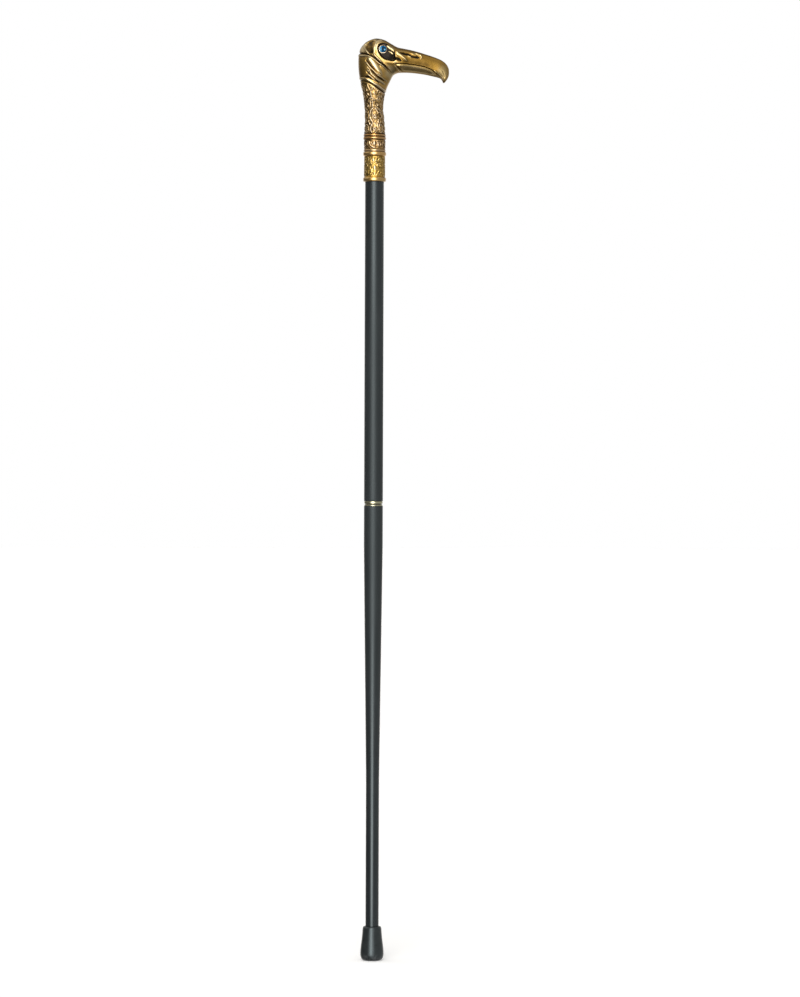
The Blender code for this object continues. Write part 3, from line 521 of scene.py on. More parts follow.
def handle_piece(segments=240):
    """The head and neck as one grid of rings, with relief pushed along its normals."""
    foot = np.array([(r, z) for r, z in NECK_FOOT])
    zs = np.concatenate([foot[:8, 1], np.arange(foot[8, 1], 819.2, 0.34), np.arange(819.2, 826.2, 0.2)])
    foot_r = np.interp(zs, foot[:, 1], foot[:, 0])
    foot_rows = np.stack([-foot_r, zs, foot_r, zs, foot_r, np.full(len(zs), 2.0)], axis=1)
    head_rows = resample(STATIONS, lambda z: np.where(z < 872, 0.36, 0.50))
    rows = np.vstack([foot_rows, head_rows])
    ax, az, bx, bz, half, power = rows.T
    a = np.arange(segments) * TAU / segments
    c, s = np.cos(a), np.sin(a)
    cc = np.sign(c)[None, :] * np.abs(c)[None, :] ** (2.0 / power[:, None])
    ss = np.sign(s)[None, :] * np.abs(s)[None, :] ** (2.0 / power[:, None])
    x = (0.5 * (ax + bx))[:, None] + (0.5 * (bx - ax))[:, None] * cc
    z = (0.5 * (az + bz))[:, None] + (0.5 * (bz - az))[:, None] * cc
    y = half[:, None] * ss
    p = np.stack([x, y, z], axis=-1)

    def normals(q):
        round_ = np.roll(q, -1, axis=1) - np.roll(q, 1, axis=1)
        up = np.gradient(q, axis=0)
        n = np.cross(round_, up)
        return n / np.maximum(np.linalg.norm(n, axis=-1, keepdims=True), 1e-9)

    n = normals(p)
    X, Y, Z = p[..., 0], p[..., 1], p[..., 2] - 800.0
    near = np.abs(Y) / 4000.0  # the lines were drawn as seen from 4 m away, at a height of 0.53 m
    X, Z = X + near * (X - 26.3), Z + near * (Z + 270.0)
    side = smoothstep(np.abs(n[..., 1]), 0.02, 0.42)  # fades side features out at the outline

    # broad forms
    soft = np.zeros(X.shape)
    socket = inside(X, Z, SOCKET, 2.4)
    soft -= 1.7 * socket
    soft += 0.8 * np.exp(-(((X - 14.0) / 4.6) ** 2 + ((Z - 105.4) / 4.6) ** 2)) * inside(X, Z, SOCKET, 2.8)
    soft += stroke(X, Z, [(11.0, 115.4), (14.0, 113.4), (17.0, 111.0), (18.4, 108.2), (18.0, 105.0)], 3.6, 1.1, (0.1, 0.2), 2.0) * socket
    soft += 0.35 * np.exp(-(((X - EYE[0]) / 4.2) ** 2 + ((Z - EYE[1]) / 4.2) ** 2)) * inside(X, Z, SOCKET, 2.0)
    d, way, where = along(X, Z, spline(CROWN_EDGE, 8))
    scoop = np.where(where > 0, smoothstep(d, 0.0, 1.5) * smoothstep(9.6 - d, 0.0, 8.0), 0.0) * smoothstep(Z, 104.6, 108.4) * smoothstep(121.0 - Z, 0.0, 1.5)
    scoop *= (X < 2.0) & (X > -13.0)
    scoop *= smoothstep(np.abs(n[..., 1]), 0.15, 0.60)
    soft -= 1.5 * scoop
    soft += stroke(X, Z, JAW_HOLLOW, 2.2, -0.40, (0.2, 0.3))
    d, way, where = along(X, Z, spline(GAPE, 8))
    below = (where < 0) & (X > 18.0) & (X < 67.0) & (Z < 97.0)
    jaw = np.where(below, smoothstep(d, 0.0, 1.2), 0.0)
    d_cheek, _, w_cheek = along(X, Z, spline(CHEEK_EDGE, 8))
    jaw *= np.where(w_cheek > 0, smoothstep(d_cheek, 0.0, 1.4), 0.0)
    soft -= 0.65 * jaw * smoothstep(66.0 - X, 0.0, 4.0)

    # lines that stop at the outline
    line = np.zeros(X.shape)
    tone = np.zeros(X.shape)
    for pts, half_w, height, taper, polish in FOLDS:
        line += stroke(X, Z, pts, half_w, height, taper, 1.5)
        tone += stroke(X, Z, pts, half_w * 1.1, polish, taper, 1.3)
    line += stroke(X, Z, GAPE, 0.85, -0.95, (0.06, 0.08), 1.5)
    tone += stroke(X, Z, GAPE, 0.95, -0.45, (0.06, 0.08), 1.3)
    tone += stroke(X, Z, JAW_HOLLOW, 2.8, 0.16, (0.15, 0.25))
    tone += 0.38 * jaw * smoothstep(66.0 - X, 0.0, 4.0)
    tone += 0.80 * np.exp(-(((X - 67.5) / 4.5) ** 2 + ((Z - 86.0) / 7.0) ** 2))
    tone += 0.75 * np.exp(-(((X - 15.5) / 5.0) ** 2 + ((Z - 88.0) / 6.0) ** 2))
    tone -= 1.25 * inside(X, Z, SOCKET, 1.3)
    # painted shade in the valley between the crown and the eye's rim
    tone -= 0.42 * np.exp(-(((X + 3.6 + 0.10 * (Z - 112.0)) / 1.9) ** 2)) * smoothstep(Z, 105.5, 108.5) * smoothstep(119.6 - Z, 0.0, 1.5)
    # painted highlight on the nape lobe and along the top of the skull
    tone += 0.42 * np.exp(-(((X + 12.6) / 3.2) ** 2 + ((Z - 112.6) / 6.0) ** 2)) + 0.24 * np.exp(-(((X - 3.0) / 12.0) ** 2 + ((Z - 121.5) / 3.6) ** 2))
    # painted shade on the lower half of the beak's side, darkest at the gape
    d, _, where = along(X, Z, spline(GAPE, 8))
    tone -= 0.34 * np.where(where > 0, smoothstep(9.5 - d, 0.0, 8.0), 0.0) * smoothstep(X, 19.0, 30.0) * smoothstep(64.0 - X, 0.0, 14.0)

    # lines that run on round the nape and the throat
    wrap = np.zeros(X.shape)
    wrap += stroke(X, Z, NAPE_NOTCH, 1.15, -1.05, (0.0, 0.25), 1.5)
    wrap += stroke(X, Z, RUFF_RIM, 1.1, 0.65, (0.0, 0.35), 1.5)
    wrap += stroke(X, Z, RUFF_FOOT, 1.25, 0.55, (0.0, 0.0), 1.5)
    wrap += stroke(X, Z, RUFF_FOOT_GROOVE, 0.95, -0.5, (0.0, 0.0), 1.5)
    belt = stroke(X, Z, NAPE_NOTCH, 1.1, -0.25, (0.05, 0.2), 1.3) + stroke(X, Z, RUFF_RIM, 1.1, 0.55, (0.25, 0.45), 1.3)
    belt += stroke(X, Z, RUFF_FOOT, 1.25, 0.30, (0.1, 0.0), 1.3) + stroke(X, Z, RUFF_FOOT_GROOVE, 0.95, -0.15, (0.0, 0.0), 1.3)
    # painted shade on the back of the ruff, the side away from the light
    belt -= 0.14 * smoothstep(-8.5 - X, 0.0, 3.0) * smoothstep(Z, 82.0, 84.0) * smoothstep(103.0 - Z, 0.0, 3.0)

    # scrollwork on the neck and the band
    theta = np.arctan2(p[..., 1], p[..., 0] - (0.5 * (ax + bx))[:, None])
    turn = theta + math.pi / 2  # 0 where the surface faces -Y
    turn = np.where(turn > math.pi, turn - TAU, turn)
    neck = neck_panel()
    band = band_panel()
    top = np.interp(X, [-19, -11, -7, -2, 3, 9, 14], [79.0, 78.2, 76.3, 73.4, 70.2, 66.8, 64.5])
    mask = smoothstep(top - Z, 0.0, 1.2) * smoothstep(Z, 26.0, 26.8)
    relief = neck.sample(turn * 10.0, Z + 800.0) * mask - 0.20 * mask
    low = smoothstep(Z, 11.6, 12.0) * smoothstep(19.9 - Z, 0.0, 0.5)
    relief += (band.sample(turn * 10.0, Z + 800.0) - 0.20) * low

    detail = side * line + wrap + relief
    p = p + n * (soft * side)[..., None]
    n = normals(p)
    p = p + n * detail[..., None]

    height = (soft * side) + detail
    gain = 1.15 - 0.65 * smoothstep(Z, 66.0, 84.0)
    # brass_tone: patina from the relief, plus tone and belt, which hold rubbed wear and also painted highlights and
    # painted shade
    brass_tone = ((height - blur(height, 3.0)) * 1.4 + (height - blur(height, 9.0)) * 0.7) * gain
    brass_tone += side * tone + belt
    for z_line, width, depth in ((10.65, 0.45, 0.6), (20.0, 0.45, 0.8), (23.35, 0.35, 0.9), (26.2, 0.5, 0.8)):
        brass_tone -= depth * np.exp(-(((p[..., 2] - 800.0 - z_line) / width) ** 2))
    for z_line, width in ((9.3, 0.8), (21.6, 0.9), (24.5, 0.6)):
        brass_tone += 0.22 * np.exp(-(((p[..., 2] - 800.0 - z_line) / width) ** 4))
    worked = mask + low
    rows_n = p.shape[0]
    verts = p.reshape(-1, 3)
    faces = grid_faces(rows_n, segments)
    # the foot's flat face with the bored hole, and the closed beak tip
    bore_low = rows_n * segments
    rings = [(7.5, HANDLE_LOW), (7.5, 838.0)]
    extra = [np.stack([r * np.cos(a), r * np.sin(a), np.full(segments, zz)], axis=1) for r, zz in rings]
    tip = p[-1].mean(0, keepdims=True)
    roof = np.array([[0.0, 0.0, 838.0]])
    verts = np.vstack([verts] + extra + [tip, roof])
    j = np.arange(segments)
    k = (j + 1) % segments
    foot_faces = np.stack([k, j, bore_low + j, bore_low + k], axis=1)
    wall = np.stack([bore_low + k, bore_low + j, bore_low + segments + j, bore_low + segments + k], axis=1)
    tip_id = bore_low + 2 * segments
    last = (rows_n - 1) * segments
    tris = [(last + a_, last + b_, tip_id) for a_, b_ in zip(j, k)]
    tris += [(bore_low + segments + b_, bore_low + segments + a_, tip_id + 1) for a_, b_ in zip(j, k)]
    all_faces = list(map(tuple, np.vstack([faces, foot_faces, wall]))) + tris
    obj = mesh_object("handle_head_and_neck", verts, all_faces, 88.0)
    values = np.zeros(len(verts))
    values[: brass_tone.size] = brass_tone.ravel()
    put_attribute(obj, "brass_tone", values)
    values = np.zeros(len(verts))
    values[: worked.size] = worked.ravel()
    put_attribute(obj, "worked", values)
    return obj


def put_attribute(obj, name, values):
    attr = obj.data.attributes.new(name, "FLOAT", "POINT")
    attr.data.foreach_set("value", np.asarray(values, dtype=np.float32))


# ============================================================ node materials
class Look:
    """A small builder of node materials."""

    def __init__(self, name):
        self.mat = bpy.data.materials.new(name)
        self.mat.use_nodes = True
        self.tree = self.mat.node_tree
        self.tree.nodes.clear()
        self.out = self.add("ShaderNodeOutputMaterial")
        self.bsdf = self.add("ShaderNodeBsdfPrincipled")
        self.tree.links.new(self.bsdf.outputs["BSDF"], self.out.inputs["Surface"])
        self._object = None

    def add(self, kind, **props):
        node = self.tree.nodes.new(kind)
        for key, value in props.items():
            setattr(node, key, value)
        return node

    def put(self, socket, value):
        if isinstance(value, bpy.types.NodeSocket):
            self.tree.links.new(value, socket)
        else:
            socket.default_value = value

    def place(self, scale=(1.0, 1.0, 1.0)):
        """Object coordinates in metres, stretched by a scale along each axis."""
        if self._object is None:
            self._object = self.add("ShaderNodeTexCoord").outputs["Object"]
        if scale == (1.0, 1.0, 1.0):
            return self._object
        node = self.add("ShaderNodeMapping")
        self.put(node.inputs["Vector"], self._object)
        node.inputs["Scale"].default_value = scale
        return node.outputs["Vector"]

    def noise(self, scale, detail=3.0, rough=0.5, stretch=(1.0, 1.0, 1.0), distort=0.0):
        node = self.add("ShaderNodeTexNoise")
        self.put(node.inputs["Vector"], self.place(stretch))
        node.inputs["Scale"].default_value = scale
        node.inputs["Detail"].default_value = detail
        node.inputs["Roughness"].default_value = rough
        node.inputs["Distortion"].default_value = distort
        return node.outputs["Fac"]

    def cells(self, scale, feature="F1", stretch=(1.0, 1.0, 1.0), output="Distance", smooth=None):
        node = self.add("ShaderNodeTexVoronoi", feature=feature)
        self.put(node.inputs["Vector"], self.place(stretch))
        node.inputs["Scale"].default_value = scale
        return node.outputs[output]

    def attribute(self, name):
        return self.add("ShaderNodeAttribute", attribute_type="GEOMETRY", attribute_name=name).outputs["Fac"]

    def math(self, op, a, b=0.0, c=0.0, clamp=False):
        node = self.add("ShaderNodeMath", operation=op, use_clamp=clamp)
        self.put(node.inputs[0], a)
        self.put(node.inputs[1], b)
        if op in ("MULTIPLY_ADD", "SMOOTH_MIN", "SMOOTH_MAX"):
            self.put(node.inputs[2], c)
        return node.outputs[0]

    def span(self, value, lo, hi, to_lo=0.0, to_hi=1.0, kind="SMOOTHSTEP"):
        node = self.add("ShaderNodeMapRange", interpolation_type=kind)
        self.put(node.inputs["Value"], value)
        for key, number in (("From Min", lo), ("From Max", hi), ("To Min", to_lo), ("To Max", to_hi)):
            node.inputs[key].default_value = number
        return node.outputs["Result"]

    def ramp(self, value, stops):
        node = self.add("ShaderNodeValToRGB")
        self.put(node.inputs["Fac"], value)
        band = node.color_ramp
        band.interpolation = "EASE"
        while len(band.elements) < len(stops):
            band.elements.new(0.5)
        for element, (at, colour) in zip(band.elements, stops):
            element.position = at
            element.color = (*colour, 1.0) if len(colour) == 3 else colour
        return node.outputs["Color"]

    def mix(self, fac, a, b, blend="MIX"):
        node = self.add("ShaderNodeMix", data_type="RGBA", blend_type=blend)
        self.put(node.inputs[0], fac)
        for socket, value in ((node.inputs[6], a), (node.inputs[7], b)):
            self.put(socket, (*value, 1.0) if isinstance(value, tuple) and len(value) == 3 else value)
        return node.outputs[2]

    def bump(self, height, distance, strength=1.0, normal=None):
        node = self.add("ShaderNodeBump")
        node.inputs["Strength"].default_value = strength
        node.inputs["Distance"].default_value = distance
        self.put(node.inputs["Height"], height)
        if normal is not None:
            self.put(node.inputs["Normal"], normal)
        return node.outputs["Normal"]

    def finish(self, **sockets):
        for key, value in sockets.items():
            self.put(self.bsdf.inputs[key.replace("_", " ")], value)
        return self.mat


def cast_brass(name, deep, dark, gold, worn, shift=0.0, polish=0.0, grain=1.0, punch=0.62, warm=(), rear=None):
    """Antiqued cast brass: dark in its recesses, rubbed bright on what stands out, with painted highlights and painted
    shade on the head carried by brass_tone.
    warm lists tints that come in between two heights, in metres."""
    k = Look(name)
    # brass_tone holds patina in recesses and rubbed wear, and on the head also painted highlights and painted shade
    relief = k.attribute("brass_tone")
    blotch = k.noise(70.0, 4.0, 0.55)
    fine = k.noise(620.0, 3.0, 0.6)
    curl = k.add("ShaderNodeVectorMath", operation="MULTIPLY_ADD")
    wave = k.add("ShaderNodeTexNoise")
    k.put(wave.inputs["Vector"], k.place())
    wave.inputs["Scale"].default_value = 330.0
    k.put(curl.inputs[0], wave.outputs["Color"])
    curl.inputs[1].default_value = (0.0022, 0.0022, 0.0022)
    k.put(curl.inputs[2], k.place())
    pits = k.add("ShaderNodeTexVoronoi", feature="SMOOTH_F1")
    k.put(pits.inputs["Vector"], curl.outputs[0])
    pits.inputs["Scale"].default_value = 470.0
    pits.inputs["Smoothness"].default_value = 0.25
    worked = k.attribute("worked")
    ground = k.math("MULTIPLY", k.math("SUBTRACT", 0.42, pits.outputs["Distance"]), worked)
    t = k.math("MULTIPLY_ADD", relief, 0.60, 0.56 + shift)
    t = k.math("MULTIPLY_ADD", ground, punch, t)
    t = k.math("MULTIPLY_ADD", k.math("SUBTRACT", blotch, 0.5), 0.24, t)
    t = k.math("MULTIPLY_ADD", k.math("SUBTRACT", fine, 0.5), 0.12, t, clamp=True)
    colour = k.ramp(t, [(0.06, deep), (0.32, dark), (0.56, gold), (0.88, worn)])
    height = k.add("ShaderNodeSeparateXYZ")
    k.put(height.inputs[0], k.place())
    for tint, start, full in warm:
        low = k.span(height.outputs["Z"], start, full)
        low = k.math("MULTIPLY", low, k.span(k.noise(38.0, 2.0), 0.30, 0.62, 0.75, 1.0))
        colour = k.mix(low, colour, tint, "MULTIPLY")
    if rear is not None:  # the back of the head has a greener patina than the beak
        back = k.math("MULTIPLY", k.span(height.outputs["X"], 0.026, 0.015), k.span(height.outputs["Z"], 0.866, 0.880))
        colour = k.mix(back, colour, rear, "MULTIPLY")
    streak = k.noise(160.0, 4.0, 0.6, stretch=(1.0, 1.0, 0.35), distort=0.4)
    colour = k.mix(k.math("MULTIPLY", k.span(streak, 0.45, 0.75, 0.0, 0.26), k.span(t, 0.04, 0.34, 0.15, 1.0)), colour, tuple(0.62 * c for c in gold))
    spots = k.span(k.cells(420.0), 0.05, 0.16, 0.5, 0.0)
    spots = k.math("MULTIPLY", spots, k.span(k.noise(130.0, 2.0), 0.52, 0.66))
    colour = k.mix(spots, colour, deep)
    rough = k.math("MULTIPLY_ADD", t, -0.14, 0.42 - polish)
    rough = k.math("MULTIPLY_ADD", k.math("SUBTRACT", streak, 0.5), 0.14, rough, clamp=True)
    rough = k.math("MULTIPLY_ADD", worked, 0.06, rough, clamp=True)
    metal = k.span(t, 0.0, 0.12, 0.9, 1.0)
    coat = k.math("MULTIPLY", k.span(t, 0.50, 0.86, 0.03, 0.9), k.span(height.outputs["Z"], 0.868, 0.880, 1.0, 0.5))
    cast = k.math("ADD", k.math("MULTIPLY", k.noise(900.0, 4.0, 0.6), 0.6), k.math("MULTIPLY", k.noise(240.0, 2.0), 0.9))
    low = k.span(t, 0.25, 0.6, 0.8, 0.12)
    stipple = k.math("MULTIPLY", k.cells(1700.0), low)
    normal = k.bump(ground, 0.0006, 0.4)
    normal = k.bump(cast, 0.00005 * grain, 0.35, normal)
    normal = k.bump(stipple, 0.00008 * grain, 0.4, normal)
    scratch = k.span(k.noise(1500.0, 2.0, 0.5, stretch=(1.0, 1.0, 0.06)), 0.62, 0.72)
    normal = k.bump(scratch, 0.00001, 0.2, normal)
    return k.finish(Base_Color=colour, Roughness=rough, Metallic=metal, Normal=normal, Coat_Weight=coat, Coat_Roughness=0.20, Coat_IOR=2.0, Coat_Normal=normal)


def turned_brass(name, base, dark, rough=0.2):
    """Machined brass: fine turning lines and a light tarnish."""
    k = Look(name)
    lines = k.noise(5200.0, 2.0, 0.5, stretch=(0.02, 0.02, 1.0))
    tarnish = k.noise(110.0, 4.0, 0.6)
    colour = k.mix(k.span(tarnish, 0.42, 0.72, 0.0, 0.55), base, dark)
    colour = k.mix(k.span(lines, 0.3, 0.7, 0.0, 0.18), colour, dark)
    roughness = k.math("MULTIPLY_ADD", tarnish, 0.22, rough - 0.08)
    return k.finish(Base_Color=colour, Roughness=roughness, Metallic=1.0, Normal=k.bump(lines, 0.00002, 0.35))


def satin_black():
    """Satin black enamel on the shaft: a faint orange-peel, dust and rub marks."""
    k = Look("satin_black_enamel")
    cloud = k.noise(45.0, 4.0, 0.55, stretch=(1.0, 1.0, 0.3))
    colour = k.mix(k.span(cloud, 0.35, 0.7), (0.0085, 0.0105, 0.0118), (0.0125, 0.0148, 0.0162))
    specks = k.math("MULTIPLY", k.span(k.cells(330.0), 0.02, 0.07, 1.0, 0.0), k.span(k.noise(90.0), 0.55, 0.7))
    colour = k.mix(k.math("MULTIPLY", specks, 0.35), colour, (0.13, 0.13, 0.13))
    height = k.add("ShaderNodeSeparateXYZ")
    k.put(height.inputs[0], k.place())
    rub = k.noise(700.0, 3.0, 0.6, stretch=(1.0, 1.0, 0.04))
    handled = k.math("ADD", k.span(height.outputs["Z"], 0.78, 0.60, 0.24, 0.41), k.span(height.outputs["Z"], 0.43, 0.10, 0.0, -0.28))
    rough = k.math("MULTIPLY_ADD", rub, 0.08, handled)
    rough = k.math("MULTIPLY_ADD", cloud, 0.08, rough)
    peel = k.noise(1500.0, 2.0, 0.5)
    normal = k.bump(peel, 0.00003, 0.35)
    return k.finish(Base_Color=colour, Roughness=rough, Normal=normal, Specular_IOR_Level=0.5, Specular_Tint=(0.84, 0.97, 1.0, 1.0))


def rubber():
    """Moulded black rubber: fine pores, scuffs near the foot, pale dust."""
    k = Look("moulded_rubber")
    cloud = k.noise(220.0, 4.0, 0.6)
    colour = k.mix(k.span(cloud, 0.3, 0.75), (0.0076, 0.0090, 0.0096), (0.0130, 0.0150, 0.0158))
    height = k.add("ShaderNodeSeparateXYZ")
    k.put(height.inputs[0], k.place())
    low = k.span(height.outputs["Z"], 0.009, 0.0005)
    dust = k.math("MULTIPLY", low, k.span(k.noise(520.0, 4.0, 0.7), 0.42, 0.66, 0.0, 0.8))
    colour = k.mix(dust, colour, (0.075, 0.075, 0.078))
    rough = k.math("MULTIPLY_ADD", cloud, 0.10, 0.24)
    rough = k.math("MULTIPLY_ADD", dust, 0.25, rough)
    pores = k.noise(2300.0, 3.0, 0.6)
    scuff = k.span(k.noise(420.0, 3.0, 0.6, stretch=(1.0, 1.0, 3.0)), 0.55, 0.75)
    normal = k.bump(pores, 0.00005, 0.4)
    normal = k.bump(scuff, 0.00004, 0.4, normal)
    return k.finish(Base_Color=colour, Roughness=rough, Normal=normal, Specular_IOR_Level=0.56, Specular_Tint=(0.80, 0.95, 1.0, 1.0))


def machined_steel():
    k = Look("machined_steel")
    lines = k.noise(4200.0, 2.0, 0.5, stretch=(0.03, 0.03, 1.0))
    oil = k.noise(150.0, 3.0)
    colour = k.mix(k.span(oil, 0.45, 0.7), (0.56, 0.56, 0.55), (0.33, 0.31, 0.28))
    rough = k.math("MULTIPLY_ADD", lines, 0.16, 0.20)
    return k.finish(Base_Color=colour, Roughness=rough, Metallic=1.0, Normal=k.bump(lines, 0.00002, 0.5))


def fibre():
    """Pressed fibre of the washers."""
    k = Look("pressed_fibre")
    strands = k.noise(1400.0, 5.0, 0.7, stretch=(1.0, 1.0, 2.2), distort=1.2)
    colour = k.mix(k.span(strands, 0.35, 0.65), (0.030, 0.027, 0.018), (0.085, 0.078, 0.052))
    return k.finish(Base_Color=colour, Roughness=k.math("MULTIPLY_ADD", strands, 0.2, 0.6), Normal=k.bump(strands, 0.00008, 0.6))


def moulded_plastic():
    k = Look("moulded_plastic")
    texture = k.noise(1100.0, 3.0, 0.6)
    colour = k.mix(k.span(texture, 0.3, 0.7), (0.024, 0.024, 0.026), (0.036, 0.036, 0.038))
    return k.finish(Base_Color=colour, Roughness=k.math("MULTIPLY_ADD", texture, 0.15, 0.36), Normal=k.bump(texture, 0.00004, 0.4))


def polished_gold():
    k = Look("polished_gold_trim")
    tarnish = k.noise(900.0, 3.0, 0.6)
    colour = k.mix(k.span(tarnish, 0.45, 0.75), (0.86, 0.74, 0.57), (0.55, 0.40, 0.20))
    split = k.add("ShaderNodeSeparateXYZ")
    k.put(split.inputs[0], k.place())
    across = k.math("MULTIPLY_ADD", split.outputs["Z"], 0.7, split.outputs["X"])
    middle = (EYE[0] + 0.7 * (800.0 + EYE[1])) * MM
    shade = k.span(across, middle - 0.0022, middle + 0.0004)
    colour = k.mix(k.math("MULTIPLY", shade, 0.88), colour, (0.12, 0.075, 0.035))
    return k.finish(Base_Color=colour, Roughness=k.math("MULTIPLY_ADD", tarnish, 0.18, 0.08), Metallic=1.0, Normal=k.bump(tarnish, 0.00003, 0.3))


def blue_glass():
    """Foil-backed blue glass with painted reflections: dark in the middle, painted lighter towards the edge and on the
    left, a painted glint lower right and painted sparkles.
    """
    k = Look("foiled_blue_glass_painted_glints")
    split = k.add("ShaderNodeSeparateXYZ")
    k.put(split.inputs[0], k.place())
    dx = k.math("SUBTRACT", split.outputs["X"], EYE[0] * MM)
    dz = k.math("SUBTRACT", split.outputs["Z"], EYE_Z * MM)
    radius = k.math("SQRT", k.math("ADD", k.math("MULTIPLY", dx, dx), k.math("MULTIPLY", dz, dz)))
    # painted reflection: the stone lighter towards its edge
    edge = k.span(radius, 0.0002, 0.0034)
    side = k.span(dx, -0.0030, 0.0032)
    colour = k.ramp(edge, [(0.0, (0.0008, 0.006, 0.016)), (0.4, (0.0012, 0.016, 0.046)), (0.75, (0.004, 0.055, 0.15)), (1.0, (0.02, 0.16, 0.36))])
    # painted shading: colour pulled towards a mid blue on the right
    colour = k.mix(k.math("MULTIPLY", side, 0.3), colour, (0.002, 0.05, 0.10))
    # painted highlight on the left facets
    left = k.span(dx, -0.0011, -0.0023)
    colour = k.mix(k.math("MULTIPLY", left, 0.9), colour, (0.16, 0.46, 0.74))
    # painted glint low on the right
    gx = k.math("SUBTRACT", dx, 0.0017)
    gz = k.math("ADD", dz, 0.0006)
    glint = k.span(k.math("SQRT", k.math("ADD", k.math("MULTIPLY", gx, gx), k.math("MULTIPLY", gz, gz))), 0.0010, 0.0003)
    colour = k.mix(k.math("MULTIPLY", glint, 0.85), colour, (0.24, 0.58, 0.78))
    # painted sparkles in random cells
    painted_sparkle_cells = k.cells(900.0, output="Color")
    tone = k.add("ShaderNodeSeparateColor")
    k.put(tone.inputs[0], painted_sparkle_cells)
    colour = k.mix(k.span(tone.outputs[0], 0.7, 1.0, 0.0, 0.3), colour, (0.02, 0.12, 0.26))
    return k.finish(Base_Color=colour, Roughness=0.12, Metallic=0.0, Specular_IOR_Level=0.04, Coat_Weight=0.03, Coat_Roughness=0.02, Normal=k.bump(tone.outputs[1], 0.00010, 0.35))


# ================================================================ the pieces
def put(piece, body, look, slot, *nodes):
    piece.data.materials.clear()
    piece.data.materials.append(look)
    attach(piece, body)
    if nodes:
        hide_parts(*nodes)
    return piece


HANDLE_BRASS = cast_brass(
    "antique_cast_brass", (0.010, 0.0065, 0.0035), (0.125, 0.075, 0.025), (0.49, 0.300, 0.088), (0.57, 0.425, 0.215),
    warm=[((0.88, 0.90, 1.08), 0.874, 0.866), ((0.60, 0.56, 0.34), 0.868, 0.880), ((0.88, 0.67, 0.34), 0.8275, 0.8255), ((1.12, 1.36, 2.25), 0.8205, 0.8195)],
    rear=(1.04, 1.11, 1.40))
COLLAR_BRASS = cast_brass(
    "antique_yellow_brass", (0.022, 0.016, 0.007), (0.17, 0.108, 0.026), (0.50, 0.318, 0.075), (0.46, 0.365, 0.175), shift=0.01, polish=0.03, punch=0.50,
    warm=[((1.18, 0.90, 0.44), 0.802, 0.8045), ((1.02, 0.87, 0.56), 0.7845, 0.7825)])
PALE_BRASS = turned_brass("turned_pale_brass", (0.47, 0.455, 0.31), (0.24, 0.225, 0.135), 0.22)
INNER_BRASS = turned_brass("turned_yellow_brass", (0.80, 0.60, 0.28), (0.42, 0.28, 0.11), 0.26)
GOLD = polished_gold()
BLUE = blue_glass()
ENAMEL = satin_black()
RUBBER = rubber()
STEEL = machined_steel()
FIBRE = fibre()
PLASTIC = moulded_plastic()

put(handle_piece(), "handle", HANDLE_BRASS, "antique_brass", "handle_casting")


# ----------------------------------------------------------------------- eyes
def facing(name, profile, sign, segments, smooth_angle):
    """A turned piece whose axis points out of the side of the head."""
    obj = lathe(name, [(r, y) for r, y in profile], segments, smooth_angle)
    co = np.empty(len(obj.data.vertices) * 3)
    obj.data.vertices.foreach_get("co", co)
    co = co.reshape(-1, 3)
    x, y, z = co[:, 0].copy(), co[:, 1].copy(), co[:, 2].copy()
    co[:, 0] = x + EYE[0] * MM
    co[:, 1] = sign * z
    co[:, 2] = sign * -y + EYE_Z * MM
    obj.data.vertices.foreach_set("co", co.ravel())
    obj.data.update()
    return obj


def jewel(name, sign):
    """A round faceted stone: an eight-sided table with three tiers of facets."""
    tiers = [(0.0, 12.72, 0.0), (1.30, 12.58, 0.0), (2.20, 12.26, 0.5), (2.82, 11.88, 0.0), (3.38, 11.40, 0.5), (3.38, 10.4, 0.5)]
    n = 8
    verts, ids = [], []
    for r, y, turn in tiers:
        if r == 0.0:
            ids.append([len(verts)])
            verts.append((EYE[0], sign * y, EYE_Z))
            continue
        m = n if r < 3.2 else 2 * n
        ids.append(list(range(len(verts), len(verts) + m)))
        for j in range(m):
            a = TAU * (j + turn) / m + 0.2
            verts.append((EYE[0] + r * math.cos(a), sign * y, EYE_Z + r * math.sin(a)))
    faces = []
    for j in range(n):
        k = (j + 1) % n
        faces.append((ids[0][0], ids[1][j], ids[1][k]))
        faces.append((ids[1][j], ids[2][j], ids[1][k]))
        faces.append((ids[1][k], ids[2][j], ids[2][k]))
        faces.append((ids[2][j], ids[3][k], ids[2][k]))
        faces.append((ids[2][j], ids[3][j], ids[3][k]) if False else (ids[2][(j - 1) % n], ids[3][j], ids[2][j]))
    g = ids[4]
    m = 2 * n
    for j in range(n):
        k = (j + 1) % n
        a, b, c = g[(2 * j - 1) % m], g[2 * j], g[(2 * j + 1) % m]
        faces.append((ids[3][j], a, b))
        faces.append((ids[3][j], b, ids[3][k]))
        faces.append((ids[3][k], b, c))
    low = ids[5]
    for j in range(m):
        k = (j + 1) % m
        faces.append((g[j], low[j], low[k]))
        faces.append((g[j], low[k], g[k]))
    faces.append(tuple(reversed(low)))
    bm = bmesh.new()
    made = [bm.verts.new(Vector(v) * MM) for v in verts]
    seen = set()
    for f in faces:
        key = frozenset(f)
        if len(key) < 3 or key in seen:
            continue
        seen.add(key)
        bm.faces.new([made[i] for i in f])
    bmesh.ops.recalc_face_normals(bm, faces=bm.faces)
    mesh = bpy.data.meshes.new(name)
    bm.to_mesh(mesh)
    bm.free()
    obj = bpy.data.objects.new(name, mesh)
    bpy.context.scene.collection.objects.link(obj)
    return obj


